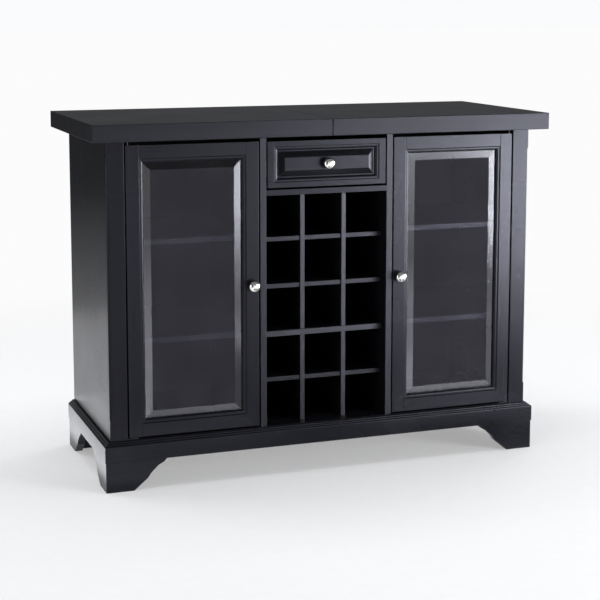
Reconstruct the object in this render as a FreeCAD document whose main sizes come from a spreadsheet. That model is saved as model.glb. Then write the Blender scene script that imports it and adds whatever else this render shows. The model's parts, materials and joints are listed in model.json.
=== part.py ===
import FreeCAD, Part
import math
import os
import re
import Sketcher

# Bar cabinet, standing on bracket feet. Millimetres. X to the right, Y to the back, Z up.
# The origin is on the floor, under the middle of the top. Pieces of the left side are
# drawn, and their partners on the right are mirrored across the plane X = 0.

DRIVING = {
    # The whole cabinet
    "top_width": 1225,
    "top_depth": 524,
    "total_height": 914,
    "overhang_side": 40,
    "overhang_front": 38,
    "overhang_back": 46,
    "cut_overrun": 6,
    "wood_gap": 0.2,
    "edge_round": 1.2,
    # The two sliding leaves of the top
    "top_edge_height": 43,
    "leaf_board_thickness": 18,
    "apron_thickness": 20,
    "seam_gap": 1.5,
    "top_runner_depth": 10,
    "top_runner_height": 17,
    "top_runner_inset": 50,
    "top_runner_seam_gap": 30,
    "runner_sheet": 1.2,
    "runner_clearance": 0.3,
    # The case
    "panel_thickness": 16,
    "bottom_thickness": 18,
    "bottom_reveal": 1,
    "sub_top_thickness": 18,
    "sub_top_overhang": 7.5,
    "back_panel_thickness": 5,
    "back_rebate_width": 8,
    "corner_stile_width": 45,
    "corner_stile_thickness": 20,
    "corner_chamfer": 4,
    "chamfer_stop": 54,
    "chamfer_run_out": 9,
    "centre_bay_width": 328,
    "partition_thickness": 16,
    # The base and its bracket feet
    "foot_height": 76,
    "base_height": 50,
    "base_proud": 17,
    "base_seat": 5,
    "foot_set_back": 1.75,
    "foot_toe_length": 71,
    "foot_length": 156,
    "foot_block_width": 45,
    "foot_block_lift": 4,
    "moulding_round": 3.8,
    "moulding_step": 1.2,
    # The bottle rack and the board over it
    "drawer_opening_height": 135,
    "drawer_rail_thickness": 15,
    "mid_shelf_height": 226,
    "mid_shelf_thickness": 15,
    "mid_shelf_set_back": 28,
    "rack_board_thickness": 12,
    "upright_set_back": 30,
    "slat_set_back": 34,
    # The shelves behind the doors
    "shelf_thickness": 14,
    "shelf_set_back": 30,
    "shelf_back_gap": 8,
    "shelf_side_gap": 1,
    "low_shelf_height": 232,
    "high_shelf_height": 481,
    "pin_radius": 2.5,
    "pin_reach": 9,
    "pin_inset": 40,
    "pin_fit": 0.1,
    # The door frames and the drawer front
    "door_gap": 3.75,
    "door_bottom_gap": 4,
    "door_top_gap": 11.5,
    "front_thickness": 20,
    "member_flat": 33.5,
    "step_width": 1,
    "step_depth": 3,
    "ledge_width": 3.5,
    "round_radius": 6,
    "lip_height": 1,
    "rabbet_width": 7,
    # The bevelled glass
    "glass_thickness": 5,
    "glass_edge_thickness": 2.5,
    "glass_bevel_sight": 18.5,
    "glass_side_gap": 1,
    # The pivot hinges and the catches
    "pivot_inset": 6,
    "pivot_pin_radius": 2,
    "pivot_clearance": 0.05,
    "bush_wall": 1.2,
    "bush_fit": 0.05,
    "bush_length": 14,
    "pivot_plate_length": 26,
    "pivot_plate_width": 14,
    "pivot_plate_thickness": 2,
    "pivot_plate_inset": 1.5,
    "thrust_clearance": 0.3,
    "washer_radius": 4,
    "catch_height": 40,
    "catch_width": 14,
    "catch_depth": 24,
    "catch_drop": 30,
    "catch_clearance": 0.3,
    "strike_height": 30,
    "strike_width": 11,
    "strike_thickness": 1.5,
    # The knobs
    "knob_radius": 15,
    "knob_length": 25,
    "knob_neck_radius": 6.5,
    "knob_neck_length": 11,
    # The drawer
    "drawer_bottom_gap": 4.5,
    "drawer_top_gap": 13,
    "drawer_stile_flat": 17.5,
    "drawer_rail_flat": 13.5,
    "panel_tongue": 3,
    "panel_bevel": 15,
    "panel_field_drop": 1,
    "tongue_thickness": 6,
    "groove_depth": 6,
    "drawer_side_thickness": 12,
    "drawer_back_gap": 40,
    "drawer_box_lift": 6,
    "drawer_box_height": 85,
    "drawer_bottom_thickness": 6,
    "drawer_bottom_groove": 5,
    "drawer_bottom_lift": 7,
    "drawer_runner_depth": 12,
    "drawer_runner_height": 35,
    "drawer_runner_end_gap": 25,
}

# Outline of a bracket foot's inner edge, from toe to top: shares of the run between the
# toe length and the whole length, and of the foot's height.
FOOT_CURVE_SHARES = ((0, 0), (0.2, 0.19), (0.412, 0.382), (0.518, 0.553),
                     (0.741, 0.789), (0.906, 0.882), (1, 1))

DERIVED = {
    "half_width": "top_width / 2",
    "half_depth": "top_depth / 2",
    "case_half": "half_width - overhang_side",
    "face_y": "overhang_front - half_depth",
    "case_back": "half_depth - overhang_back",
    "back_panel_front": "case_back - back_panel_thickness",
    "case_top": "total_height - top_edge_height",
    "base_top": "foot_height + base_height",
    "bottom_top": "base_top + bottom_reveal",
    "case_underside": "bottom_top - bottom_thickness",
    "leaf_underside": "total_height - leaf_board_thickness",
    "apron_inner_y": "half_depth - apron_thickness",
    "sub_top_half_depth": "apron_inner_y - top_runner_depth",
    "sub_top_half_width": "case_half + sub_top_overhang",
    "top_runner_length": "sub_top_half_width - top_runner_inset - top_runner_seam_gap",
    "base_outer": "case_half + base_proud",
    "base_inner": "case_half - base_seat",
    "base_front_y": "face_y - base_proud",
    "base_seat_y": "face_y + base_seat",
    "base_rail_thickness": "base_proud + base_seat",
    "foot_thickness": "base_rail_thickness - foot_set_back",
    "foot_corner_x": "base_outer - foot_set_back",
    "foot_corner_y": "base_front_y + foot_set_back",
    "base_middle_y": "(base_front_y + case_back) / 2",
    "side_inner": "case_half - panel_thickness",
    "corner_inner": "case_half - corner_stile_width",
    "stile_back_y": "face_y + corner_stile_thickness",
    "bay_half": "centre_bay_width / 2",
    "partition_outer": "bay_half + partition_thickness",
    "drawer_rail_top": "case_top - drawer_opening_height",
    "rack_top": "drawer_rail_top - drawer_rail_thickness",
    "mid_shelf_bottom": "bottom_top + mid_shelf_height",
    "mid_shelf_top": "mid_shelf_bottom + mid_shelf_thickness",
    "cell_width": "(centre_bay_width - 2 * rack_board_thickness) / 3",
    "low_cell_height": "(mid_shelf_height - rack_board_thickness) / 2",
    "high_cell_height": "(rack_top - mid_shelf_top - 2 * rack_board_thickness) / 3",
    "low_slat_z": "bottom_top + low_cell_height",
    "middle_slat_z": "mid_shelf_top + high_cell_height",
    "high_slat_z": "middle_slat_z + rack_board_thickness + high_cell_height",
    "upright_depth": "back_panel_front - face_y - upright_set_back",
    "slat_depth": "back_panel_front - face_y - slat_set_back",
    "lap_depth": "slat_depth / 2",
    "door_outer": "corner_inner - door_gap",
    "door_inner": "partition_outer + door_gap",
    "door_width": "door_outer - door_inner",
    "door_middle": "(door_outer + door_inner) / 2",
    "door_bottom": "bottom_top + door_bottom_gap",
    "door_top": "case_top - door_top_gap",
    "door_height": "door_top - door_bottom",
    "door_middle_z": "(door_top + door_bottom) / 2",
    "door_back_y": "face_y + front_thickness",
    "sticking_width": "step_width + ledge_width + round_radius",
    "sticking_depth": "step_depth + round_radius",
    "member_width": "member_flat + sticking_width",
    "rabbet_depth": "sticking_depth + lip_height",
    "glass_margin": "rabbet_width - glass_side_gap",
    "glass_inset": "member_width - glass_margin",
    "glass_width": "door_width - 2 * glass_inset",
    "glass_height": "door_height - 2 * glass_inset",
    "glass_bevel": "glass_margin + glass_bevel_sight",
    "glass_bevel_depth": "glass_thickness - glass_edge_thickness",
    "glass_edge_y": "face_y + rabbet_depth + glass_bevel_depth * glass_margin / glass_bevel",
    "glass_back_y": "glass_edge_y + glass_edge_thickness",
    "bead_inset": "member_width - rabbet_width",
    "pivot_x": "door_outer - pivot_inset",
    "pivot_y": "face_y + pivot_inset",
    "bush_bore": "pivot_pin_radius + pivot_clearance",
    "bush_radius": "bush_bore + bush_wall",
    "pin_engagement": "bush_length - pivot_plate_thickness",
    "catch_top": "door_top - catch_drop",
    "strike_back_y": "door_back_y + strike_thickness",
    "knob_x": "door_inner + member_flat / 2",
    "drawer_half": "bay_half - door_gap",
    "drawer_bottom": "drawer_rail_top + drawer_bottom_gap",
    "drawer_height": "case_top - drawer_top_gap - drawer_bottom",
    "drawer_middle_z": "drawer_bottom + drawer_height / 2",
    "panel_half": "drawer_half - drawer_stile_flat - sticking_width + groove_depth - wood_gap",
    "panel_low": "drawer_bottom + drawer_rail_flat + sticking_width - groove_depth + wood_gap",
    "panel_height": "2 * (drawer_middle_z - panel_low)",
    "panel_slope": "groove_depth - wood_gap + panel_tongue + panel_bevel",
    "panel_shelf": "groove_depth - wood_gap + panel_tongue",
    "box_outer": "bay_half - drawer_runner_depth",
    "box_inner": "box_outer - drawer_side_thickness",
    "box_low": "drawer_bottom + drawer_box_lift",
    "box_back_y": "back_panel_front - drawer_back_gap",
    "drawer_runner_length": "box_back_y - door_back_y - drawer_runner_end_gap",
    "drawer_floor_z": "box_low + drawer_bottom_lift",
}

doc = FreeCAD.newDocument("bar_cabinet")
sizes = doc.addObject("Spreadsheet::Sheet", "sizes")


def fill_sheet():
    """Write the driving and the derived sizes into the sheet, one named cell each."""
    formulas = {name: "=" + rule for name, rule in DERIVED.items()}
    cells = {**DRIVING, **formulas}
    for row, (name, content) in enumerate(cells.items(), start=1):
        sizes.set(f"A{row}", name)
        sizes.set(f"B{row}", str(content))
        sizes.setAlias(f"B{row}", name)
    doc.recompute()


def bound(rule):
    """The rule with the sheet's name before each of the sheet's sizes."""
    known = set(DRIVING) | set(DERIVED)
    return re.sub(r"[a-z_]+", lambda word: ("sizes." if word[0] in known else "") + word[0], rule)


def number(rule):
    """What a rule comes to with the sizes as they are now."""
    return float(sizes.evalExpression(bound(rule)))


def bind(thing, **rules):
    """Tie properties of an object to rules of the sheet's sizes."""
    for name, rule in rules.items():
        thing.setExpression(name, bound(rule))


def stand(thing, x="0", y="0", z="0"):
    """Tie an object's place to rules of the sheet's sizes."""
    for axis, rule in zip("xyz", (x, y, z)):
        thing.setExpression(f".Placement.Base.{axis}", bound(rule))
    return thing


def block(name, x, y, z):
    """A rectangular piece between two rules on each axis."""
    piece = doc.addObject("Part::Box", name)
    bind(piece, Length=f"{x[1]} - ({x[0]})", Width=f"{y[1]} - ({y[0]})",
         Height=f"{z[1]} - ({z[0]})")
    return stand(piece, x[0], y[0], z[0])


def rod(name, radius, length, x, y, z, along="z"):
    """A round bar that starts at a point and runs along +Z, +X, -X or -Y."""
    piece = doc.addObject("Part::Cylinder", name)
    bind(piece, Radius=radius, Height=length)
    turns = {"z": (1, 0, 0, 0), "x": (0, 1, 0, 90), "-x": (0, 1, 0, -90), "-y": (1, 0, 0, 90)}
    ax, ay, az, angle = turns[along]
    piece.Placement.Rotation = FreeCAD.Rotation(FreeCAD.Vector(ax, ay, az), angle)
    return stand(piece, x, y, z)


def cut(name, base, *tools):
    """A piece less one or more others, which have to reach into it."""
    tool = tools[0] if len(tools) == 1 else fuse(name + "_tools", *tools)
    piece = doc.addObject("Part::Cut", name)
    piece.Base = base
    piece.Tool = tool
    cuts.append(piece)
    return piece


def common(name, base, tool):
    """What two solids share."""
    piece = doc.addObject("Part::Common", name)
    piece.Base = base
    piece.Tool = tool
    return piece


def fuse(name, *members):
    """Several solids as one shape."""
    piece = doc.addObject("Part::MultiFuse", name)
    piece.Shapes = list(members)
    piece.Refine = True
    return piece


def group(name, *members):
    """Separate solids that share a node."""
    piece = doc.addObject("Part::Compound", name)
    piece.Links = list(members)
    return piece


def mirrored(name, source, normal=(1, 0, 0), x="0", y="0", z="0"):
    """The partner of a piece on the other side of a plane."""
    piece = doc.addObject("Part::Mirroring", name)
    piece.Source = source
    piece.Normal = FreeCAD.Vector(*normal)
    for axis, rule in zip("xyz", (x, y, z)):
        piece.setExpression(f"Base.{axis}", bound(rule))
    return piece


def pair(name, source):
    """The right-hand partner of a left-hand piece."""
    return mirrored(name, source)


def arc_between(start, end, radius, side):
    """The short arc from start to end, its centre to the left (1) or right (-1)."""
    chord = end - start
    middle = (start + end) / 2
    reach = math.sqrt(max(radius ** 2 - (chord.Length / 2) ** 2, 0))
    across = FreeCAD.Vector(-chord.y, chord.x, 0).normalize()
    centre = middle + across * reach * side
    first, last = (start, end) if side > 0 else (end, start)
    angles = [math.atan2(p.y - centre.y, p.x - centre.x) for p in (first, last)]
    circle = Part.Circle(centre, FreeCAD.Vector(0, 0, 1), radius)
    return Part.ArcOfCircle(circle, *angles)


def outline(body, name, plane, points):
    """A closed sketch on one of the body's own planes.

    Each point is a pair of rules. A third and a fourth item make the edge that starts
    there an arc: the rule of its radius, and the side of its centre.
    """
    sketch = body.newObject("Sketcher::SketchObject", name)
    base = next(part for part in body.Origin.OriginFeatures if part.Role == plane)
    sketch.AttachmentSupport = [(base, "")]
    sketch.MapMode = "FlatFace"
    corners = [FreeCAD.Vector(number(p[0]), number(p[1]), 0) for p in points]
    starts = []
    for index, point in enumerate(points):
        here, after = corners[index], corners[(index + 1) % len(points)]
        if len(point) > 2:
            sketch.addGeometry(arc_between(here, after, number(point[2]), point[3]))
            starts.append(1 if point[3] > 0 else 2)
        else:
            sketch.addGeometry(Part.LineSegment(here, after))
            starts.append(1)
    for index, point in enumerate(points):
        after = (index + 1) % len(points)
        end = 3 - starts[index]
        sketch.addConstraint(Sketcher.Constraint("Coincident", index, end, after, starts[after]))
        for kind, axis, rule in (("DistanceX", -2, point[0]), ("DistanceY", -1, point[1])):
            if rule == "0":
                fixed = Sketcher.Constraint("PointOnObject", index, starts[index], axis)
                sketch.addConstraint(fixed)
            else:
                fixed = Sketcher.Constraint(kind, -1, 1, index, starts[index], number(rule))
                row = sketch.addConstraint(fixed)
                sketch.setExpression(f"Constraints[{row}]", bound(rule))
        if len(point) > 2:
            row = sketch.addConstraint(Sketcher.Constraint("Radius", index, number(point[2])))
            sketch.setExpression(f"Constraints[{row}]", bound(point[2]))
    return sketch


def prism(name, plane, points, length, x="0", y="0", z="0"):
    """A board or bar: an outline drawn on a plane and padded along the plane's +axis."""
    body = doc.addObject("PartDesign::Body", name)
    sketch = outline(body, name + "_outline", plane, points)
    pad = body.newObject("PartDesign::Pad", name + "_pad")
    pad.Profile = sketch
    pad.Reversed = plane == "XZ_Plane"
    bind(pad, Length=length)
    body.Tip = pad
    return stand(body, x, y, z)


def turned(name, points, x="0", y="0", z="0"):
    """A turned piece: an outline of radius and length, whose length runs along -Y."""
    body = doc.addObject("PartDesign::Body", name)
    sketch = outline(body, name + "_outline", "XY_Plane", points)
    turning = body.newObject("PartDesign::Revolution", name + "_turning")
    turning.Profile = sketch
    turning.ReferenceAxis = (sketch, ["V_Axis"])
    turning.Angle = 360
    body.Tip = turning
    body.Placement.Rotation = FreeCAD.Rotation(FreeCAD.Vector(0, 0, 1), 180)
    return stand(body, x, y, z)


def rounded(body, radius, wanted):
    """Round those edges of a body whose middle point and direction are wanted."""
    doc.recompute()
    last = body.Tip
    names = []
    for index, edge in enumerate(last.Shape.Edges, start=1):
        if isinstance(edge.Curve, Part.Line):
            middle = edge.CenterOfMass
            if wanted(middle, edge.tangentAt(edge.FirstParameter)):
                names.append(f"Edge{index}")
    fillet = body.newObject("PartDesign::Fillet", body.Name + "_rounding")
    fillet.Base = (last, names)
    bind(fillet, Radius=radius)
    body.Tip = fillet
    return body


def frustum(name, width, height, slope_width, slope_depth):
    """A rectangle that narrows by a slope all round towards -Y, standing on its middle."""
    piece = doc.addObject("Part::Wedge", name)
    bind(piece, Xmin=f"-({width}) / 2", Xmax=f"({width}) / 2",
         Zmin=f"-({height}) / 2", Zmax=f"({height}) / 2", Ymin="0", Ymax=slope_depth,
         X2min=f"{slope_width} - ({width}) / 2", X2max=f"({width}) / 2 - {slope_width}",
         Z2min=f"{slope_width} - ({height}) / 2", Z2max=f"({height}) / 2 - {slope_width}")
    piece.Placement.Rotation = FreeCAD.Rotation(FreeCAD.Vector(0, 0, 1), 180)
    return piece


# The case

def side_panel():
    """One side of the case, rebated for the back and drilled for the shelf pins."""
    board = block("side_panel_board", ("-case_half", "-side_inner"),
                  ("stile_back_y", "case_back"), ("case_underside", "case_top"))
    rebate = block("side_panel_rebate", ("back_rebate_width - case_half", "cut_overrun - side_inner"),
                   ("back_panel_front", "case_back + cut_overrun"),
                   ("case_underside - cut_overrun", "case_top + cut_overrun"))
    holes = pin_rods("side_panel_hole", "-side_inner", "-x", "pin_radius + pin_fit",
                     "pin_reach + pin_fit")
    return cut("side_panel_left", board, rebate, *holes)


def corner_stile():
    """The case's front corner post, with a chamfer that stops short of its ends."""
    post = block("corner_stile_post", ("-case_half", "-corner_inner"),
                 ("face_y", "stile_back_y"), ("case_underside", "case_top"))
    cutter = doc.addObject("Part::Wedge", "corner_chamfer_cutter")
    bind(cutter, Xmin="-corner_chamfer - cut_overrun", Xmax="corner_chamfer + cut_overrun",
         X2min="-corner_chamfer - cut_overrun", X2max="corner_chamfer + cut_overrun",
         Ymin="-chamfer_run_out", Ymax="corner_chamfer * sqrt(2) / 2",
         Zmin="base_top + chamfer_stop - chamfer_run_out",
         Zmax="case_top - chamfer_stop + chamfer_run_out",
         Z2min="base_top + chamfer_stop", Z2max="case_top - chamfer_stop")
    cutter.Placement.Rotation = FreeCAD.Rotation(FreeCAD.Vector(0, 0, 1), -45)
    stand(cutter, "-case_half", "face_y")
    return cut("corner_stile_left", post, cutter)


def partition():
    """The upright between a glazed bay and the bottle rack."""
    board = block("partition_board", ("-partition_outer", "-bay_half"),
                  ("face_y", "back_panel_front"), ("bottom_top", "case_top"))
    holes = pin_rods("partition_hole", "-partition_outer", "x", "pin_radius + pin_fit",
                     "pin_reach + pin_fit")
    return cut("partition_left", board, *holes)


def bottom_panel():
    """The floor of the case, notched round the corner posts."""
    width = "2 * side_inner"
    notch = "side_inner - corner_inner"
    deep = "back_panel_front - face_y"
    points = [("0", "corner_stile_thickness"), (notch, "corner_stile_thickness"), (notch, "0"),
              (f"{width} - ({notch})", "0"), (f"{width} - ({notch})", "corner_stile_thickness"),
              (width, "corner_stile_thickness"), (width, deep), ("0", deep)]
    return prism("bottom_panel", "XY_Plane", points, "bottom_thickness",
                 "-side_inner", "face_y", "case_underside")


def sub_top():
    """The fixed board under the two leaves."""
    return block("sub_top", ("-sub_top_half_width", "sub_top_half_width"),
                 ("-sub_top_half_depth", "sub_top_half_depth"),
                 ("case_top", "case_top + sub_top_thickness"))


def back_panel():
    """The thin back, let into the rebates of the sides."""
    return block("back_panel", ("back_rebate_width - case_half", "case_half - back_rebate_width"),
                 ("back_panel_front", "case_back"), ("case_underside", "case_top"))


# The bottle rack

def drawer_rail():
    """The board between the drawer and the rack."""
    return block("drawer_rail", ("-bay_half", "bay_half"), ("face_y", "back_panel_front"),
                 ("rack_top", "drawer_rail_top"))


def rack_mid_shelf():
    """The shelf that divides the rack."""
    return block("rack_mid_shelf", ("-bay_half", "bay_half"),
                 ("face_y + mid_shelf_set_back", "back_panel_front"),
                 ("mid_shelf_bottom", "mid_shelf_top"))


def upright(name, x, low, high, slats):
    """One upright of the rack, slotted from behind where the slats cross it."""
    slot = "upright_depth - lap_depth - wood_gap"
    points = [("0", "0"), ("upright_depth", "0")]
    for slat in slats:
        points += [("upright_depth", f"{slat} - ({low}) - wood_gap"),
                   (slot, f"{slat} - ({low}) - wood_gap"),
                   (slot, f"{slat} - ({low}) + rack_board_thickness + wood_gap"),
                   ("upright_depth", f"{slat} - ({low}) + rack_board_thickness + wood_gap")]
    points += [("upright_depth", f"{high} - ({low})"), ("0", f"{high} - ({low})")]
    return prism(name, "YZ_Plane", points, "rack_board_thickness",
                 x, "face_y + upright_set_back", low)


def rack_uprights():
    """Two uprights below the middle shelf and two above it."""
    left = "-cell_width / 2 - rack_board_thickness"
    low = upright("upright_low", left, "bottom_top", "mid_shelf_bottom", ["low_slat_z"])
    high = upright("upright_high", left, "mid_shelf_top", "rack_top",
                   ["middle_slat_z", "high_slat_z"])
    return group("rack_uprights", low, high, pair("upright_low_right", low),
                 pair("upright_high_right", high))


def slat(name, low):
    """One slat of the rack, slotted from the front where the uprights cross it."""
    lap = "lap_depth"
    first = "cell_width - wood_gap"
    second = "2 * cell_width + rack_board_thickness - wood_gap"
    board = "rack_board_thickness + 2 * wood_gap"
    points = [("0", "0"), (first, "0"), (first, lap), (f"{first} + {board}", lap),
              (f"{first} + {board}", "0"), (second, "0"), (second, lap),
              (f"{second} + {board}", lap), (f"{second} + {board}", "0"),
              ("centre_bay_width", "0"), ("centre_bay_width", "slat_depth"), ("0", "slat_depth")]
    return prism(name, "XY_Plane", points, "rack_board_thickness",
                 "-bay_half", "face_y + slat_set_back", low)


def rack_slats():
    """The three cross slats of the rack."""
    return group("rack_slats", slat("slat_low", "low_slat_z"),
                 slat("slat_middle", "middle_slat_z"), slat("slat_high", "high_slat_z"))


# The shelves behind the doors

SHELVES = {"lower": "low_shelf_height", "upper": "high_shelf_height"}


def shelf(level):
    """One shelf of the left bay, lying loose on four pins."""
    return block(f"shelf_left_{level}",
                 ("shelf_side_gap - side_inner", "-partition_outer - shelf_side_gap"),
                 ("face_y + shelf_set_back", "back_panel_front - shelf_back_gap"),
                 (f"bottom_top + {SHELVES[level]}",
                  f"bottom_top + {SHELVES[level]} + shelf_thickness"))


def pin_rods(name, x, along, radius, reach):
    """Rods at the four pin places on one wall of the left bay."""
    rods = []
    depths = ("face_y + shelf_set_back + pin_inset",
              "back_panel_front - shelf_back_gap - pin_inset")
    for level, height in SHELVES.items():
        for place, depth in zip(("front", "back"), depths):
            rods.append(rod(f"{name}_{level}_{place}", radius, reach, x, depth,
                            f"bottom_top + {height} - pin_radius", along))
    return rods


def shelf_pins():
    """All the pins, half in the wall and half under the shelf."""
    outer = pin_rods("pin_outer", "-side_inner - pin_reach", "x", "pin_radius", "2 * pin_reach")
    inner = pin_rods("pin_inner", "-partition_outer + pin_reach", "-x", "pin_radius",
                     "2 * pin_reach")
    left = group("pins_left", *outer, *inner)
    return group("shelf_pins", left, pair("pins_right", left))


# The base

def rail_section(outward):
    """The base rail's section, seen with the outside at the low or the high end.

    From the seat of the case up its face, out over three rounds and down the front.
    """
    def across(rule):
        return f"base_seat + {rule}" if outward > 0 else f"base_proud - ({rule})"

    back = "0" if outward > 0 else "base_rail_thickness"
    front = "base_rail_thickness" if outward > 0 else "0"
    face = "base_seat" if outward > 0 else "base_proud"
    seat = "case_underside - foot_height"
    points = [(back, "0"), (back, seat), (face, seat), (face, "base_height")]
    top_flat = "(base_proud - 3 * moulding_round - 2 * moulding_step)"
    for turn in range(3):
        along = f"{top_flat} + {turn} * (moulding_round + moulding_step)"
        height = f"base_height - {turn} * moulding_round"
        side = -1 if outward > 0 else 1
        points.append((across(along), height, "moulding_round", side))
        if turn < 2:
            points.append((across(f"{along} + moulding_round"), f"{height} - moulding_round"))
    points.append((front, "base_height - 3 * moulding_round"))
    points.append((front, "0"))
    return points


def mitre_plan(name, points, x, y):
    """An upright prism that trims a base piece to its plan."""
    return prism(name, "XY_Plane", points, "base_top + cut_overrun", x, y, "0")


def base_front_rail():
    """The front of the base, mitred at both ends."""
    bar = prism("base_front_bar", "YZ_Plane", rail_section(-1), "2 * base_outer",
                "-base_outer", "base_front_y", "foot_height")
    plan = mitre_plan("base_front_plan", [
        ("0", "0"), ("2 * base_outer", "0"),
        ("2 * base_outer - base_rail_thickness", "base_rail_thickness"),
        ("base_rail_thickness", "base_rail_thickness")], "-base_outer", "base_front_y")
    return common("base_front_rail", bar, plan)


def base_side_rail():
    """A side of the base, mitred at the front and square at the back."""
    length = "case_back - base_front_y"
    section = rail_section(-1)
    bar = prism("base_side_bar", "XZ_Plane", section, length,
                "-base_outer", "base_front_y", "foot_height")
    plan = mitre_plan("base_side_plan", [
        ("0", "0"), ("base_rail_thickness", "base_rail_thickness"),
        ("base_rail_thickness", length), ("0", length)], "-base_outer", "base_front_y")
    return common("base_left_rail", bar, plan)


def base_back_rail():
    """The plain rail between the side rails at the back."""
    return block("base_back_rail", ("-base_inner", "base_inner"),
                 ("case_back - base_rail_thickness", "case_back"),
                 ("foot_height", "case_underside"))


def foot_half(name):
    """The front half of the front left foot: a shaped bracket, mitred at the corner."""
    run = "(foot_length - foot_toe_length)"
    points = [("0", "0")]
    for share, rise_share in FOOT_CURVE_SHARES:
        points.append((f"foot_toe_length + {share} * {run}",
                       f"{rise_share} * foot_height" if rise_share else "0"))
    points.append(("0", "foot_height"))
    bracket = prism(name + "_bracket", "XZ_Plane", points, "foot_thickness",
                    "-foot_corner_x", "foot_corner_y", "0")
    plan = mitre_plan(name + "_plan", [
        ("0", "0"), ("foot_length", "0"), ("foot_length", "foot_thickness"),
        ("foot_thickness", "foot_thickness")], "-foot_corner_x", "foot_corner_y")
    return common(name, bracket, plan)


def front_foot():
    """Two bracket halves and the glue block in their corner, which carries the case."""
    half = foot_half("foot_front_half")
    other = mirrored("foot_side_half", half, (1, -1, 0), "-foot_corner_x", "foot_corner_y")
    inner_x = "foot_thickness - foot_corner_x"
    inner_y = "foot_corner_y + foot_thickness"
    corner = block("foot_block", (inner_x, f"{inner_x} + foot_block_width"),
                   (inner_y, f"{inner_y} + foot_block_width"), ("foot_block_lift", "case_underside"))
    return group("foot_front_left", half, other, corner)


# The pivot hinges, catches and knobs

def pivot_plates():
    """The case's half of the pivots: plates with a pin, under and over each door."""
    edge = "pivot_plate_inset - corner_inner"
    span_x = (edge, f"{edge} + pivot_plate_length")
    span_y = ("face_y + pivot_plate_inset", "face_y + pivot_plate_inset + pivot_plate_width")
    low_plate = block("pivot_low_plate", span_x, span_y,
                      ("bottom_top", "bottom_top + pivot_plate_thickness"))
    low_pin = rod("pivot_low_pin", "pivot_pin_radius", "door_bottom_gap + pin_engagement",
                  "-pivot_x", "pivot_y", "bottom_top")
    washer = rod("pivot_washer", "washer_radius", "door_bottom_gap - thrust_clearance",
                 "-pivot_x", "pivot_y", "bottom_top")
    low = fuse("pivot_low_left", low_plate, low_pin, washer)
    high_plate = block("pivot_high_plate", span_x, span_y,
                       ("case_top - pivot_plate_thickness", "case_top"))
    high_pin = rod("pivot_high_pin", "pivot_pin_radius", "door_top_gap + pin_engagement",
                   "-pivot_x", "pivot_y", "door_top - pin_engagement")
    high = fuse("pivot_high_left", high_plate, high_pin)
    return group("pivot_plates", low, high, pair("pivot_low_right", low),
                 pair("pivot_high_right", high))


def magnet_catches():
    """A magnetic catch on each partition, behind the knob side of the door."""
    left = block("catch_left", ("-partition_outer - catch_width", "-partition_outer"),
                 ("strike_back_y + catch_clearance", "strike_back_y + catch_clearance + catch_depth"),
                 ("catch_top - catch_height", "catch_top"))
    return group("magnet_catches", left, pair("catch_right", left))


def knob(name, x, y, z):
    """A turned knob: a round head on a narrower neck."""
    points = [("0", "0"), ("knob_neck_radius", "0"), ("knob_neck_radius", "knob_neck_length"),
              ("knob_radius", "knob_neck_length"), ("knob_radius", "knob_length"),
              ("0", "knob_length")]
    return turned(name, points, x, y, z)


# A door

def member_section(flat, thickness, wall, inside):
    """Section of a frame member across its width, from its outer edge to the opening.

    A flat, a step, a ledge and a quarter round, then the lip, and behind it the space
    for the glass or the panel, which the points given as inside describe.
    """
    first = f"{flat} + step_width"
    second = f"{first} + ledge_width"
    return [("0", "0"), (flat, "0"), (first, "step_depth"),
            (second, "step_depth", "round_radius", 1),
            (f"{flat} + sticking_width", "sticking_depth"), *inside,
            (wall, thickness), ("0", thickness)]


def door_section():
    """Section of a door's stile or rail, rabbeted at the back for the glass."""
    return member_section("member_flat", "front_thickness", "bead_inset",
                          [("member_width", "rabbet_depth"), ("bead_inset", "rabbet_depth")])


def turned_section(points):
    """The same section with width and depth swapped, for a member that lies flat."""
    swapped = []
    for point in points:
        swapped.append((point[1], point[0], *((point[2], -point[3]) if len(point) > 2 else ())))
    return swapped


def door_stiles():
    """The two full-height stiles of the left door."""
    plain = prism("stile_hinge_plain", "XY_Plane", door_section(), "door_height",
                  "-door_outer", "face_y", "door_bottom")
    bores = [rod(f"bush_bore_{end}", "bush_radius + bush_fit", "bush_length",
                 "-pivot_x", "pivot_y", low)
             for end, low in (("low", "door_bottom"), ("high", "door_top - bush_length"))]
    hinge = cut("door_left_hinge_stile", plain, *bores)
    other = mirrored("door_left_knob_stile", plain, (1, 0, 0), "-door_middle")
    return hinge, other, plain


def door_rails(stiles):
    """The two rails of the left door, their ends coped over the stiles' moulding."""
    bar = prism("rail_low_bar", "YZ_Plane", turned_section(door_section()),
                "door_width - 2 * member_flat", "member_flat - door_outer", "face_y",
                "door_bottom")
    low = cut("rail_low", bar, fuse("stile_shapes", *stiles))
    high = mirrored("rail_high", low, (0, 0, 1), z="door_middle_z")
    return group("door_left_rails", low, high)


def door_glass():
    """The bevelled pane, thick in the middle and thin at its edge."""
    plate = block("glass_plate", ("glass_inset - door_outer", "-door_inner - glass_inset"),
                  ("glass_edge_y", "glass_back_y"),
                  ("door_bottom + glass_inset", "door_top - glass_inset"))
    crown = frustum("glass_crown", "glass_width", "glass_height", "glass_bevel",
                    "glass_bevel_depth")
    stand(crown, "-door_middle", "glass_edge_y", "door_middle_z")
    return fuse("door_left_glass", plate, crown)


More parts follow.
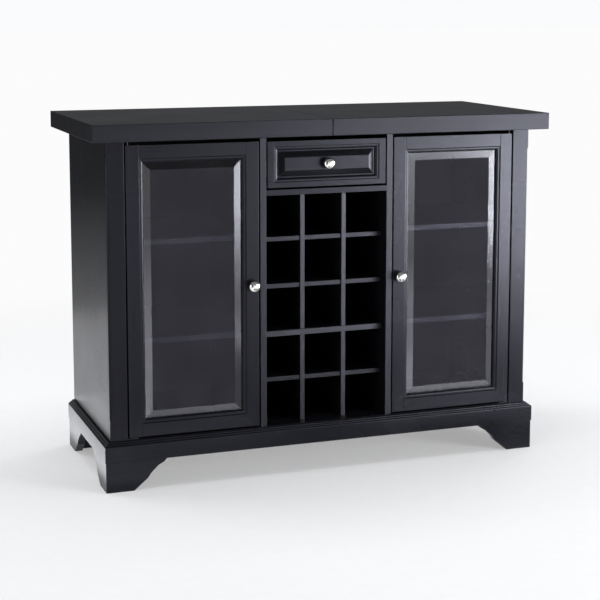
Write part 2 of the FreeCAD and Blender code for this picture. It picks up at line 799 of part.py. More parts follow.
def door_beads():
    """Four glazing beads that hold the pane from behind."""
    out = ("bead_inset - door_outer", "member_width - door_outer")
    deep = ("glass_back_y", "door_back_y")
    side = block("bead_side", out, deep, ("door_bottom + bead_inset", "door_top - bead_inset"))
    low = block("bead_low", ("member_width - door_outer", "-door_inner - member_width"), deep,
                ("door_bottom + bead_inset", "door_bottom + member_width"))
    return group("door_left_beads", side, low,
                 mirrored("bead_other_side", side, (1, 0, 0), "-door_middle"),
                 mirrored("bead_high", low, (0, 0, 1), z="door_middle_z"))


def door_fittings():
    """The pivot bushes in the hinge stile and the strike plate of the catch."""
    bushes = []
    for end, low in (("low", "door_bottom"), ("high", "door_top - bush_length")):
        sleeve = rod(f"bush_{end}_sleeve", "bush_radius", "bush_length", "-pivot_x", "pivot_y", low)
        bore = rod(f"bush_{end}_bore", "bush_bore", "bush_length + 2 * cut_overrun",
                   "-pivot_x", "pivot_y", f"{low} - cut_overrun")
        bushes.append(cut(f"bush_{end}", sleeve, bore))
    edge = "-door_inner - door_gap / 2"
    strike = block("strike_plate", (f"{edge} - strike_width", edge), ("door_back_y", "strike_back_y"),
                   ("catch_top - catch_height / 2 - strike_height / 2",
                    "catch_top - catch_height / 2 + strike_height / 2"))
    return group("door_left_fittings", *bushes, strike)


# The drawer

def drawer_front_frame():
    """Stiles and rails of the drawer front, grooved for the raised panel."""
    def section(flat):
        edge = f"{flat} + sticking_width"
        root = f"{edge} - groove_depth"
        back = "sticking_depth + tongue_thickness + wood_gap"
        return member_section(flat, "front_thickness", edge,
                              [(root, "sticking_depth"), (root, back), (edge, back)])

    stile = prism("drawer_stile", "XY_Plane", section("drawer_stile_flat"), "drawer_height",
                  "-drawer_half", "face_y", "drawer_bottom")
    other = pair("drawer_stile_right", stile)
    bar = prism("drawer_rail_bar", "YZ_Plane", turned_section(section("drawer_rail_flat")),
                "2 * (drawer_half - drawer_stile_flat)", "drawer_stile_flat - drawer_half",
                "face_y", "drawer_bottom")
    low = cut("drawer_front_rail_low", bar, fuse("drawer_stile_shapes", stile, other))
    high = mirrored("drawer_front_rail_high", low, (0, 0, 1), z="drawer_middle_z")
    return group("drawer_front_frame", stile, other, low, high)


def drawer_front_panel():
    """The raised panel: a flat field, a bevel all round and a tongue in the groove."""
    front = "face_y + sticking_depth + wood_gap / 2"
    high = "panel_low + panel_height"
    board = block("panel_board", ("-panel_half", "panel_half"),
                  (front, f"{front} + tongue_thickness"), ("panel_low", high))
    rise = f"{front} - face_y - panel_field_drop"
    field = frustum("panel_raise", "2 * (panel_half - panel_shelf)",
                    "panel_height - 2 * panel_shelf", "panel_bevel", rise)
    stand(field, "0", front, "drawer_middle_z")
    backing = block("panel_backing", ("panel_shelf - panel_half", "panel_half - panel_shelf"),
                    (f"{front} + tongue_thickness", "door_back_y"),
                    ("panel_low + panel_shelf", f"{high} - panel_shelf"))
    return fuse("drawer_front_panel", board, field, backing)


def drawer_box():
    """Sides, inner front, back and bottom of the drawer."""
    tall = ("box_low", "box_low + drawer_box_height")
    side_board = block("drawer_side_board", ("-box_outer", "-box_inner"),
                       ("door_back_y", "box_back_y"), tall)
    groove = block("drawer_side_groove", ("-box_inner - drawer_bottom_groove", "cut_overrun - box_inner"),
                   ("door_back_y - cut_overrun", "box_back_y + cut_overrun"),
                   ("drawer_floor_z", "drawer_floor_z + drawer_bottom_thickness"))
    side = cut("drawer_side_left", side_board, groove)
    sides = group("drawer_box_sides", side, pair("drawer_side_right", side))
    inner_board = block("drawer_inner_board", ("-box_inner", "box_inner"),
                        ("door_back_y", "door_back_y + drawer_side_thickness"), tall)
    slot = block("inner_front_slot", ("-box_inner - cut_overrun", "box_inner + cut_overrun"),
                 ("door_back_y + drawer_side_thickness - drawer_bottom_groove",
                  "door_back_y + drawer_side_thickness + cut_overrun"),
                 ("drawer_floor_z", "drawer_floor_z + drawer_bottom_thickness"))
    inner = cut("drawer_inner_front", inner_board, slot)
    back = block("drawer_back_board", ("-box_inner", "box_inner"),
                 ("box_back_y - drawer_side_thickness", "box_back_y"),
                 ("drawer_floor_z + drawer_bottom_thickness", "box_low + drawer_box_height"))
    ends = group("drawer_box_ends", inner, back)
    floor = block("drawer_bottom", ("-box_inner - drawer_bottom_groove + wood_gap",
                                    "box_inner + drawer_bottom_groove - wood_gap"),
                  ("door_back_y + drawer_side_thickness - drawer_bottom_groove + wood_gap",
                   "box_back_y"),
                  ("drawer_floor_z", "drawer_floor_z + drawer_bottom_thickness"))
    return sides, ends, floor


# Telescopic runners

def channel(deep, high, opens):
    """Section of a folded channel: its web at the near end, or at the far end."""
    near, far = ("0", "runner_sheet"), (deep, f"{deep} - runner_sheet")
    back, web = near if opens == "far" else far
    tip = deep if opens == "far" else "0"
    return [(back, "0"), (tip, "0"), (tip, "runner_sheet"), (web, "runner_sheet"),
            (web, f"{high} - runner_sheet"), (tip, f"{high} - runner_sheet"), (tip, high),
            (back, high)]


def top_runner():
    """The left leaf's front runner: fixed, middle and leaf members, nested."""
    step = "(runner_sheet + runner_clearance)"
    start = "-sub_top_half_width + top_runner_inset"
    low = "case_top + sub_top_thickness - top_runner_height"
    wall = "-sub_top_half_depth"
    fixed_deep = "top_runner_depth - runner_clearance"
    fixed = prism("top_runner_fixed_front", "YZ_Plane",
                  channel(fixed_deep, "top_runner_height", "near"), "top_runner_length",
                  start, f"{wall} - ({fixed_deep})", low)
    middle_deep = f"top_runner_depth - {step} - runner_clearance"
    middle = prism("top_runner_middle_front", "YZ_Plane",
                   channel(middle_deep, f"top_runner_height - 2 * {step}", "near"),
                   "top_runner_length", start, "-apron_inner_y + runner_clearance",
                   f"{low} + {step}")
    leaf = prism("top_runner_leaf_front", "YZ_Plane",
                 channel(f"top_runner_depth - 2 * {step}", f"top_runner_height - 4 * {step}", "far"),
                 "top_runner_length", start, "-apron_inner_y", f"{low} + 2 * {step}")
    return fixed, middle, leaf


def front_and_back(name, front):
    """A runner member at the front and its partner at the back."""
    return group(name, front, mirrored(name + "_back", front, (0, 1, 0)))


def drawer_runner():
    """The drawer's left runner: fixed, middle and drawer members, nested."""
    step = "(runner_sheet + runner_clearance)"
    low = "box_low + (drawer_box_height - drawer_runner_height) / 2"
    fixed = prism("drawer_runner_fixed_left", "XZ_Plane",
                  channel("drawer_runner_depth - runner_clearance", "drawer_runner_height", "far"),
                  "drawer_runner_length", "-bay_half", "door_back_y", low)
    middle = prism("drawer_runner_middle_left", "XZ_Plane",
                   channel(f"drawer_runner_depth - {step} - runner_clearance",
                           f"drawer_runner_height - 2 * {step}", "far"),
                   "drawer_runner_length", f"{step} - bay_half", "door_back_y", f"{low} + {step}")
    moving = prism("drawer_runner_inner_left", "XZ_Plane",
                   channel(f"drawer_runner_depth - 2 * {step}",
                           f"drawer_runner_height - 4 * {step}", "near"),
                   "drawer_runner_length", f"2 * {step} - bay_half", "door_back_y",
                   f"{low} + 2 * {step}")
    return fixed, middle, moving


def left_and_right(name, left):
    """A runner member on the left and its partner on the right."""
    return group(name, left, pair(name + "_partner", left))


# The leaves of the top

def leaf_board():
    """The left leaf's board, with its three outer top edges rounded."""
    length = "half_width - seam_gap / 2"
    points = [("0", "0"), (length, "0"), (length, "top_depth"), ("0", "top_depth")]
    board = prism("leaf_left_board", "XY_Plane", points, "leaf_board_thickness",
                  "-half_width", "-half_depth", "leaf_underside")
    thick = number("leaf_board_thickness")
    seam = number(length)
    near = number("seam_gap")

    def outer_top(middle, direction):
        return middle.z > thick - near and middle.x < seam - near

    return rounded(board, "edge_round", outer_top)


def leaf_aprons():
    """Strips under the board's front, outer and back edges, which hide the runners."""
    tall = ("case_top", "leaf_underside")
    seam = "-seam_gap / 2"
    front = block("apron_front", ("-half_width", seam), ("-half_depth", "-apron_inner_y"), tall)
    end = block("apron_end", ("-half_width", "apron_thickness - half_width"),
                ("-apron_inner_y", "apron_inner_y"), tall)
    return group("leaf_left_aprons", front, end, mirrored("apron_back", front, (0, 1, 0)))


def build():
    """Make every node of the cabinet, and return them by name."""
    nodes = {}

    def keep(piece):
        nodes[piece.Name] = piece
        return piece

    def keep_pair(left):
        keep(left)
        keep(pair(left.Name.replace("left", "right"), left))

    keep_pair(side_panel())
    keep_pair(corner_stile())
    keep_pair(partition())
    keep(bottom_panel())
    keep(sub_top())
    keep(back_panel())
    keep(drawer_rail())
    keep(rack_mid_shelf())
    keep(rack_uprights())
    keep(rack_slats())
    for level in SHELVES:
        keep_pair(shelf(level))
    keep(shelf_pins())
    keep(base_front_rail())
    keep_pair(base_side_rail())
    keep(base_back_rail())
    foot = front_foot()
    keep_pair(foot)
    keep_pair(mirrored("foot_rear_left", foot, (0, 1, 0), y="base_middle_y"))
    keep(pivot_plates())
    keep(magnet_catches())

    hinge, knob_side, plain = door_stiles()
    for piece in (hinge, knob_side, door_rails((plain, knob_side)), door_glass(), door_beads(),
                  knob("door_left_knob", "-knob_x", "face_y", "door_middle_z"), door_fittings()):
        keep_pair(piece)

    keep(drawer_front_frame())
    keep(drawer_front_panel())
    for piece in drawer_box():
        keep(piece)
    keep(knob("drawer_knob", "0", "face_y + panel_field_drop", "drawer_middle_z"))
    for name, member in zip(("drawer_runner_fixed", "drawer_runner_middle",
                             "drawer_runner_inner"), drawer_runner()):
        keep(left_and_right(name, member))

    keep_pair(leaf_board())
    keep_pair(leaf_aprons())
    fixed, middle, leaf = top_runner()
    left = front_and_back("top_runners_fixed_left", fixed)
    keep(group("top_runners_fixed", left, pair("top_runners_fixed_right", left)))
    keep_pair(front_and_back("top_runner_left_middle", middle))
    keep_pair(front_and_back("leaf_left_runners", leaf))
    return nodes


def check(nodes):
    """Stop if an object failed, a node is not sound, or a cut took nothing away."""
    for thing in doc.Objects:
        if {"Invalid", "Error"} & set(thing.State):
            raise RuntimeError(f"{thing.Name} failed: {thing.State}")
    for piece in cuts:
        if piece.Shape.Volume >= piece.Base.Shape.Volume:
            raise RuntimeError(f"{piece.Name}: the cut took nothing away")
    for name, piece in nodes.items():
        shape = piece.Shape
        if shape.isNull() or not shape.isValid() or not shape.Solids:
            raise RuntimeError(f"{name} is not a sound solid")


def export(nodes):
    """Write each node's shape to a file of its own."""
    os.makedirs("parts", exist_ok=True)
    for name, piece in nodes.items():
        piece.Label = name
        piece.Shape.exportStep(f"parts/{name}.step")
    print(len(nodes), "nodes,", sum(len(piece.Shape.Solids) for piece in nodes.values()), "solids")


cuts = []
fill_sheet()
cabinet = build()
doc.recompute()
check(cabinet)
export(cabinet)
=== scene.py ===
import json
import math

import bmesh
import bpy
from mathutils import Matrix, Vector


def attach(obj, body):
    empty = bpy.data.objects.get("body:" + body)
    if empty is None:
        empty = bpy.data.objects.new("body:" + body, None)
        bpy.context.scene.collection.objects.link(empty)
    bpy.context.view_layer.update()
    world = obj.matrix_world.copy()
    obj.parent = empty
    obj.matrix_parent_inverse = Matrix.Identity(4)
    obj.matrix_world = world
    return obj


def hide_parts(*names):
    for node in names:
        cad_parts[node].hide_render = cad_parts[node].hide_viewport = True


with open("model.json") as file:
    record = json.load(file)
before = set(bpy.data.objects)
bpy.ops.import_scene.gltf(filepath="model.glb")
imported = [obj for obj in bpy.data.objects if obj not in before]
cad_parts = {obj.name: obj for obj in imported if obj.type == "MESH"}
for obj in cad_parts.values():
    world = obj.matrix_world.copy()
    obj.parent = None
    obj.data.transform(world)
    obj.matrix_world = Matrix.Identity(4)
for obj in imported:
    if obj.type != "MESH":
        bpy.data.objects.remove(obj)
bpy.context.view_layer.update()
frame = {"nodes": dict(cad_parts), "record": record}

# A black lacquered bar cabinet. Metres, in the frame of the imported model: X to the right,
# Y to the back, Z up, the origin on the floor under the middle of the top.

MM = 0.001


def box_of(*nodes):
    """The lowest and the highest corner of one or more nodes."""
    corners = [v.co for node in nodes for v in frame["nodes"][node].data.vertices]
    return [Vector([pick(c[axis] for c in corners) for axis in range(3)]) for pick in (min, max)]


# Shader trees

def blank_material(name):
    """A material with nothing in it but a plain shader, which it shows."""
    material = bpy.data.materials.new(name)
    material.use_nodes = True
    tree = material.node_tree
    tree.nodes.clear()
    shader = tree.nodes.new("ShaderNodeBsdfPrincipled")
    output = tree.nodes.new("ShaderNodeOutputMaterial")
    tree.links.new(shader.outputs["BSDF"], output.inputs["Surface"])
    return material, tree, shader


def pattern(tree, stretch):
    """Object coordinates, stretched per axis, for a pattern that stays on the piece."""
    place = tree.nodes.new("ShaderNodeTexCoord")
    mapping = tree.nodes.new("ShaderNodeMapping")
    mapping.inputs["Scale"].default_value = stretch
    tree.links.new(place.outputs["Object"], mapping.inputs["Vector"])
    return mapping


def noise(tree, coordinates, scale, detail=2.0, roughness=0.5):
    """A noise pattern on given coordinates."""
    node = tree.nodes.new("ShaderNodeTexNoise")
    node.inputs["Scale"].default_value = scale
    node.inputs["Detail"].default_value = detail
    node.inputs["Roughness"].default_value = roughness
    tree.links.new(coordinates.outputs["Vector"], node.inputs["Vector"])
    return node


def spread(tree, source, low, high, start=0.3, end=0.7, output="Fac"):
    """The source's values from start to end, mapped on low to high."""
    node = tree.nodes.new("ShaderNodeMapRange")
    ends = {"From Min": start, "From Max": end, "To Min": low, "To Max": high}
    for entry, number in ends.items():
        node.inputs[entry].default_value = number
    tree.links.new(source.outputs[output], node.inputs["Value"])
    return node


# Where on a source's scale a colour is at its darkest, and where at its lightest.
TONE_ENDS = (0.32, 0.72)


def tones(tree, source, dark, light):
    """A colour that runs from dark to light with the source."""
    node = tree.nodes.new("ShaderNodeValToRGB")
    for element, position, colour in zip(node.color_ramp.elements, TONE_ENDS, (dark, light)):
        element.position = position
        element.color = (*colour, 1)
    tree.links.new(source.outputs["Fac"], node.inputs["Fac"])
    return node


def calculate(tree, operation, first, second):
    """The output of a sum on two numbers or outputs."""
    node = tree.nodes.new("ShaderNodeMath")
    node.operation = operation
    for entry, content in zip(node.inputs, (first, second)):
        if isinstance(content, bpy.types.NodeSocket):
            tree.links.new(content, entry)
        else:
            entry.default_value = content
    return node.outputs[0]


def mixed(tree, share, most, rest):
    """The output of one surface mixed into another by a share."""
    mix = tree.nodes.new("ShaderNodeMixShader")
    for entry, content in zip(mix.inputs, (share, most, rest)):
        tree.links.new(content, entry)
    return mix.outputs[0]


def show(tree, surface):
    """Let a material show a surface in the place of its plain shader."""
    output = next(node for node in tree.nodes if node.type == "OUTPUT_MATERIAL")
    tree.links.new(surface, output.inputs["Surface"])


def axes(tree):
    """Object coordinates, with an output for each axis."""
    parts = tree.nodes.new("ShaderNodeSeparateXYZ")
    tree.links.new(pattern(tree, (1, 1, 1)).outputs["Vector"], parts.inputs[0])
    return parts


# Wear and painted highlight along the edges, where the colour is lightened in spots, partly as
# rubbed-through lacquer and partly as a painted edge highlight: how far round an edge counts as
# part of it, between which leans of the surface and which values of the spots it sets in, and how
# strong it gets.
WEAR_AND_HIGHLIGHT_REACH = 0.9 * MM
WEAR_AND_HIGHLIGHT_LEAN = (0.86, 0.99)
WEAR_AND_HIGHLIGHT_SPOTS = (0.42, 0.66)
WEAR_AND_HIGHLIGHT_AMOUNT = 0.75


def worn_and_highlit_edges(tree, colour, worn_and_highlit, spots):
    """The colour lightened in spots along the piece's edges: partly wear where hands and cloths
    rub, and partly a painted highlight along the edges.
    """
    true = tree.nodes.new("ShaderNodeNewGeometry")
    soft = tree.nodes.new("ShaderNodeBevel")
    soft.samples = 4
    soft.inputs["Radius"].default_value = WEAR_AND_HIGHLIGHT_REACH
    lean = tree.nodes.new("ShaderNodeVectorMath")
    lean.operation = "DOT_PRODUCT"
    tree.links.new(true.outputs["Normal"], lean.inputs[0])
    tree.links.new(soft.outputs["Normal"], lean.inputs[1])
    edge = spread(tree, lean, 1, 0, *WEAR_AND_HIGHLIGHT_LEAN, "Value")
    patchy = spread(tree, spots, 0, WEAR_AND_HIGHLIGHT_AMOUNT, *WEAR_AND_HIGHLIGHT_SPOTS)
    mix = tree.nodes.new("ShaderNodeMix")
    mix.data_type = "RGBA"
    share = calculate(tree, "MULTIPLY", edge.outputs["Result"], patchy.outputs["Result"])
    tree.links.new(share, mix.inputs["Factor"])
    tree.links.new(colour.outputs["Color"], mix.inputs["A"])
    mix.inputs["B"].default_value = (*worn_and_highlit, 1)
    return mix


def roughen(tree, shader, source, gloss, stray, *ends):
    """Let a shader's roughness stray from its gloss with a source, by least to most."""
    least, most = stray
    sheen = spread(tree, source, gloss + least, gloss + most, *ends)
    tree.links.new(sheen.outputs["Result"], shader.inputs["Roughness"])


def bump(tree, shader, layers):
    """Bump layers of a source, a strength and a height, each on the last one's normal."""
    last = None
    for source, strength, height in layers:
        node = tree.nodes.new("ShaderNodeBump")
        node.inputs["Strength"].default_value = strength
        node.inputs["Distance"].default_value = height
        tree.links.new(source.outputs["Fac"], node.inputs["Height"])
        if last:
            tree.links.new(last.outputs["Normal"], node.inputs["Normal"])
        last = node
    tree.links.new(last.outputs["Normal"], shader.inputs["Normal"])


# Finishes

# How much the grain is drawn out, and how deep the lacquered pores are, by the grain's axis.
GRAIN_RUNS = {"x": (1, 14, 14), "y": (14, 1, 14), "z": (14, 14, 1)}
PORE_DEPTHS = {"x": 0.1, "y": 0.16, "z": 0.28}
LACQUER_SHINE = 0.2
UNPOLISHED_SHINE = 0.03
UNPOLISHED_FROM, UNPOLISHED_TO = 1.5 * MM, 9 * MM
LACQUER_TINT = (0.86, 0.865, 1.0, 1)
# The edges' lighter tone: partly rubbed-through lacquer, partly a painted highlight.
WORN_AND_HIGHLIT_LACQUER = (0.034, 0.031, 0.029)
# The lacquer's patterns: scale, detail and roughness of each.
LACQUER_PORES = (34, 5, 0.62)
LACQUER_FIGURE = (2.6, 3, 0.5)
LACQUER_CLOUDS = (5.5, 3, 0.55)
ORANGE_PEEL = (420, 1, 0.4)
WEAR_AND_HIGHLIGHT_PATTERN = (38, 3, 0.6)
PORE_HEIGHT = 0.5 * MM
PEEL_STRENGTH, PEEL_HEIGHT = 0.05, 0.2 * MM
# By how much the gloss strays with the clouds, and from which to which of their values.
CLOUD_STRAY = (-0.03, 0.04)
CLOUD_ENDS = (0.15, 0.85)


def lacquer(name, grain, gloss, dark, light, shine=LACQUER_SHINE, inside=None):
    """Black lacquer over closed grain that runs along one axis, lightened in spots at the edges,
    partly as wear and partly as a painted edge highlight.

    Where inside gives a node, what lies behind that node's front edge is left unpolished.
    """
    material, tree, shader = blank_material(name)
    along = pattern(tree, GRAIN_RUNS[grain])
    even = pattern(tree, (1, 1, 1))
    pores = noise(tree, along, *LACQUER_PORES)
    figure = noise(tree, along, *LACQUER_FIGURE)
    cloud = noise(tree, even, *LACQUER_CLOUDS)
    peel = noise(tree, even, *ORANGE_PEEL)
    spots = noise(tree, even, *WEAR_AND_HIGHLIGHT_PATTERN)
    # Edges lightened in spots: partly wear, partly a painted highlight.
    worn_and_highlit = worn_and_highlit_edges(tree, tones(tree, figure, dark, light), WORN_AND_HIGHLIT_LACQUER, spots)
    tree.links.new(worn_and_highlit.outputs["Result"], shader.inputs["Base Color"])
    roughen(tree, shader, cloud, gloss, CLOUD_STRAY, *CLOUD_ENDS)
    shader.inputs["Specular IOR Level"].default_value = shine
    shader.inputs["Specular Tint"].default_value = LACQUER_TINT
    if inside:
        front = box_of(inside)[0].y
        depth = spread(tree, axes(tree), shine, UNPOLISHED_SHINE,
                       front + UNPOLISHED_FROM, front + UNPOLISHED_TO, "Y")
        tree.links.new(depth.outputs["Result"], shader.inputs["Specular IOR Level"])
    bump(tree, shader, [(pores, PORE_DEPTHS[grain], PORE_HEIGHT),
                        (peel, PEEL_STRENGTH, PEEL_HEIGHT)])
    return material


STAINED_PORES = (46, 6, 0.68)
STAINED_FIGURE = (3.2, 4, 0.55)
STAINED_GLOSS = (0.62, 0.8)
STAINED_SHINE = 0.25
OPEN_PORES = 0.35


def stained_wood(name, grain, dark, light):
    """Black stain on bare wood, matt, with open grain."""
    material, tree, shader = blank_material(name)
    along = pattern(tree, GRAIN_RUNS[grain])
    pores = noise(tree, along, *STAINED_PORES)
    figure = noise(tree, along, *STAINED_FIGURE)
    colour = tones(tree, figure, dark, light)
    tree.links.new(colour.outputs["Color"], shader.inputs["Base Color"])
    dull = spread(tree, pores, *STAINED_GLOSS)
    tree.links.new(dull.outputs["Result"], shader.inputs["Roughness"])
    shader.inputs["Specular IOR Level"].default_value = STAINED_SHINE
    bump(tree, shader, [(pores, OPEN_PORES, 0.6 * MM)])
    return material


TOOL_MARKS = (90, 4, 0.6)
METAL_STAIN = (24, 3, 0.5)
METAL_STRAY = (-0.05, 0.08)


def metal(name, dark, light, gloss, stretch, scratch):
    """Bare or plated metal, with fine tool marks along the stretched axis."""
    material, tree, shader = blank_material(name)
    lines = noise(tree, pattern(tree, stretch), *TOOL_MARKS)
    stain = noise(tree, pattern(tree, (1, 1, 1)), *METAL_STAIN)
    colour = tones(tree, stain, dark, light)
    tree.links.new(colour.outputs["Color"], shader.inputs["Base Color"])
    roughen(tree, shader, lines, gloss, METAL_STRAY)
    shader.inputs["Metallic"].default_value = 1.0
    bump(tree, shader, [(lines, scratch, 0.1 * MM)])
    return material


GLASS_TINT = (0.93, 0.93, 1.0, 1)
# The veil's colour: dust, and a painted reflection of the pale studio.
DUST_AND_PAINTED_REFLECTION = (0.80, 0.78, 0.94, 1)
DUST_AND_REFLECTION_PATCHES = (0.85, 1.15)
WIPE_MARKS = (9, 3, 0.5)


def pane_glass(name, bend, least, haze, veil, dark, light):
    """Thin glass: what lies behind it in a tint, what its near face mirrors, and on the near face a
    veil of dust that is also a painted reflection of the pale studio.

    The face mirrors what it would beyond a least share, so that a low one leaves no grit.
    """
    material, tree, shader = blank_material(name)
    smear = noise(tree, pattern(tree, (1, 1, 1)), *WIPE_MARKS)
    sheen = spread(tree, smear, haze / 2, haze)
    tree.links.new(sheen.outputs["Result"], shader.inputs["Roughness"])
    shader.inputs["Base Color"].default_value = GLASS_TINT
    shader.inputs["Metallic"].default_value = 1.0
    clear = tree.nodes.new("ShaderNodeBsdfTransparent")
    tint = tones(tree, smear, dark, light)
    tree.links.new(tint.outputs["Color"], clear.inputs["Color"])
    mirror = tree.nodes.new("ShaderNodeFresnel")
    mirror.inputs["IOR"].default_value = bend
    face = tree.nodes.new("ShaderNodeNewGeometry")
    near = spread(tree, face, 1, 0, 0, 1, "Backfacing").outputs["Result"]
    beyond = spread(tree, mirror, 0, 1 - least, least, 1).outputs["Result"]
    # A faint diffuse veil on the near face: a dust haze that also stands in for the pale studio the
    # glass mirrors, as a painted reflection.
    dust_and_painted_reflection = tree.nodes.new("ShaderNodeBsdfDiffuse")
    dust_and_painted_reflection.inputs["Color"].default_value = DUST_AND_PAINTED_REFLECTION
    patches = spread(tree, smear, *(veil * part for part in DUST_AND_REFLECTION_PATCHES)).outputs["Result"]
    film = calculate(tree, "MULTIPLY", patches, near)
    share = calculate(tree, "MULTIPLY", beyond, near)
    hazed = mixed(tree, film, clear.outputs[0], dust_and_painted_reflection.outputs[0])
    show(tree, mixed(tree, share, hazed, shader.outputs["BSDF"]))
    return material


MOULDED_TEXTURE = (1400, 2, 0.6)
MOULDED_PATCHES = 60
MOULDED_LIGHTER = 1.5
MOULDED_STRAY = (-0.06, 0.06)
MOULDED_DEPTH = 0.25


def plastic(name, colour, gloss):
    """Moulded plastic with a fine spark-eroded texture."""
    material, tree, shader = blank_material(name)
    even = pattern(tree, (1, 1, 1))
    texture = noise(tree, even, *MOULDED_TEXTURE)
    light = tuple(part * MOULDED_LIGHTER for part in colour)
    shade = tones(tree, noise(tree, even, MOULDED_PATCHES), colour, light)
    tree.links.new(shade.outputs["Color"], shader.inputs["Base Color"])
    roughen(tree, shader, texture, gloss, MOULDED_STRAY)
    bump(tree, shader, [(texture, MOULDED_DEPTH, 0.2 * MM)])
    return material


BLACK = (0.0040, 0.0042, 0.0058)
BLACK_LIGHT = (0.0072, 0.0075, 0.0100)
STAIN = (0.0062, 0.0064, 0.0076)
STAIN_LIGHT = (0.0125, 0.0127, 0.0148)
TOP_BLACK = (0.0058, 0.006, 0.0076)
TOP_BLACK_LIGHT = (0.0104, 0.0107, 0.013)
NICKEL, NICKEL_LIGHT = (0.84, 0.825, 0.79), (0.95, 0.935, 0.90)
ZINC, ZINC_LIGHT = (0.42, 0.42, 0.41), (0.6, 0.6, 0.59)
BLACKENED_STEEL, BLACKENED_LIGHT = (0.02, 0.02, 0.022), (0.045, 0.045, 0.048)
GLASS, GLASS_LIGHT = (0.80, 0.80, 0.83), (0.85, 0.85, 0.87)
GROUND_LIGHT = (0.87, 0.87, 0.90)
CATCH_BLACK = (0.012, 0.012, 0.012)
# A lacquer's numbers are its gloss and its shine, and the node it names is unpolished inside. A
# metal's are its gloss, how its tool marks are drawn out and how deep they are. A glass's are how
# much it bends light, the least share of light at which it mirrors, its haze and its veil.
FINISHES = {
    "upright": lacquer("lacquer_upright", "z", 0.26, BLACK, BLACK_LIGHT),
    "across": lacquer("lacquer_across", "x", 0.26, BLACK, BLACK_LIGHT),
    "deep": lacquer("lacquer_deep", "y", 0.26, BLACK, BLACK_LIGHT),
    "top": lacquer("lacquer_top", "x", 0.40, TOP_BLACK, TOP_BLACK_LIGHT, 0.21),
    "post": lacquer("lacquer_post", "z", 0.26, BLACK, BLACK_LIGHT, 0.155),
    "rack": lacquer("lacquer_rack", "y", 0.34, BLACK, BLACK_LIGHT, 0.46, "rack_uprights"),
    "divider": lacquer("lacquer_divider", "z", 0.38, BLACK, BLACK_LIGHT, 0.31, "partition_left"),
    "shelf": lacquer("lacquer_shelf", "x", 0.40, BLACK, BLACK_LIGHT, 0.26, "shelf_left_upper"),
    "inner": stained_wood("stained_inner", "x", STAIN, STAIN_LIGHT),
    "back": stained_wood("stained_back", "z", STAIN, STAIN_LIGHT),
    "nickel": metal("polished_nickel", NICKEL, NICKEL_LIGHT, 0.11, (1, 9, 1), 0.02),
    "zinc": metal("zinc_plate", ZINC, ZINC_LIGHT, 0.34, (1, 1, 12), 0.06),
    "blackened": metal("blackened_steel", BLACKENED_STEEL, BLACKENED_LIGHT, 0.4, (1, 1, 6), 0.05),
    "glass": pane_glass("pane_glass", 1.46, 0.06, 0.01, 0.034, GLASS, GLASS_LIGHT),
    "ground": pane_glass("ground_glass", 1.70, 0, 0.12, 0.006, GLASS, GROUND_LIGHT),
    "plastic": plastic("catch_plastic", CATCH_BLACK, 0.5),
}


# Pieces

def body_of(node):
    """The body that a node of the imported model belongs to."""
    bodies = frame["record"]["behaviour"]["bodies"]
    return next(body for body, nodes in bodies.items() if node in nodes)


def slot_of(node):
    """The record's material slot of a node."""
    return next(s["material_slot"] for s in frame["record"]["subparts"] if s["node"] == node)


def add_piece(name, mesh, finish, body, slot, nodes=()):
    """Put a mesh in the scene as a piece that rides on a body and may replace nodes."""
    mesh.materials.clear()
    mesh.materials.append(FINISHES[finish])
    piece = bpy.data.objects.new(name, mesh)
    bpy.context.collection.objects.link(piece)
    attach(piece, body)
    if nodes:
        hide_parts(*nodes)
    return piece


def stand_for(name, mesh, finish, *nodes):
    """Put a mesh in the scene in the place of nodes, on their body."""
    return add_piece(name, mesh, finish, body_of(nodes[0]), slot_of(nodes[0]), nodes)


def mesh_from(name, build):
    """A mesh that a function builds up, with its faces turned outwards."""
    work = bmesh.new()
    build(work)
    bmesh.ops.recalc_face_normals(work, faces=work.faces)
    mesh = bpy.data.meshes.new(name)
    work.to_mesh(mesh)
    work.free()
    return mesh


def crease(mesh, sharpest):
    """Shade a mesh smooth, but for the edges at which it turns by more than an angle."""
    work = bmesh.new()
    work.from_mesh(mesh)
    for face in work.faces:
        face.smooth = True
    for edge in work.edges:
        edge.smooth = edge.calc_face_angle(0) < math.radians(sharpest)
    work.to_mesh(mesh)
    work.free()


# Degrees by which a surface turns where its shading breaks, and where its edge is eased.
BOARD_CREASE = 12
EASED_TURN = 24


def ease(piece, width):
    """Break a piece's edges by hand, as a lacquered board's are."""
    crease(piece.data, BOARD_CREASE)
    soften = piece.modifiers.new("eased", "BEVEL")
    soften.width = width
    soften.segments = 2
    soften.limit_method = "ANGLE"
    soften.angle_limit = math.radians(EASED_TURN)
    flatten = piece.modifiers.new("flat_faces", "WEIGHTED_NORMAL")
    flatten.weight = 80
    flatten.keep_sharp = True
    return piece


def solids_of(faces):
    """Faces in groups that are each one closed solid, for solids whose faces follow each other."""
    solid, unmet = [], set()
    for face in faces:
        solid.append(face)
        corners = [vert.co.to_tuple(6) for vert in face.verts]
        for start, end in zip(corners, corners[1:] + corners[:1]):
            if (end, start) in unmet:
                unmet.remove((end, start))
            else:
                unmet.add((start, end))
        if not unmet:
            yield solid
            solid = []
    if solid:
        yield solid


SAME_CORNER = 0.002 * MM
SAME_FLAT = 0.5


def own_shape(name, node):
    """A copy of a node's shape, with one face for each of its flats and its solids apart."""
    work = bmesh.new()
    work.from_mesh(frame["nodes"][node].data)
    for solid in list(solids_of(work.faces)):
        verts = list(dict.fromkeys(vert for face in solid for vert in face.verts))
        bmesh.ops.remove_doubles(work, verts=verts, dist=SAME_CORNER)
    flat = math.radians(SAME_FLAT)
    bmesh.ops.dissolve_limit(work, angle_limit=flat, verts=work.verts, edges=work.edges)
    mesh = bpy.data.meshes.new(name)
    work.to_mesh(mesh)
    work.free()
    return mesh


def eased(node, finish, width):
    """A node's own shape with its edges eased."""
    name = "eased_" + node
    return ease(stand_for(name, own_shape(name, node), finish, node), width)


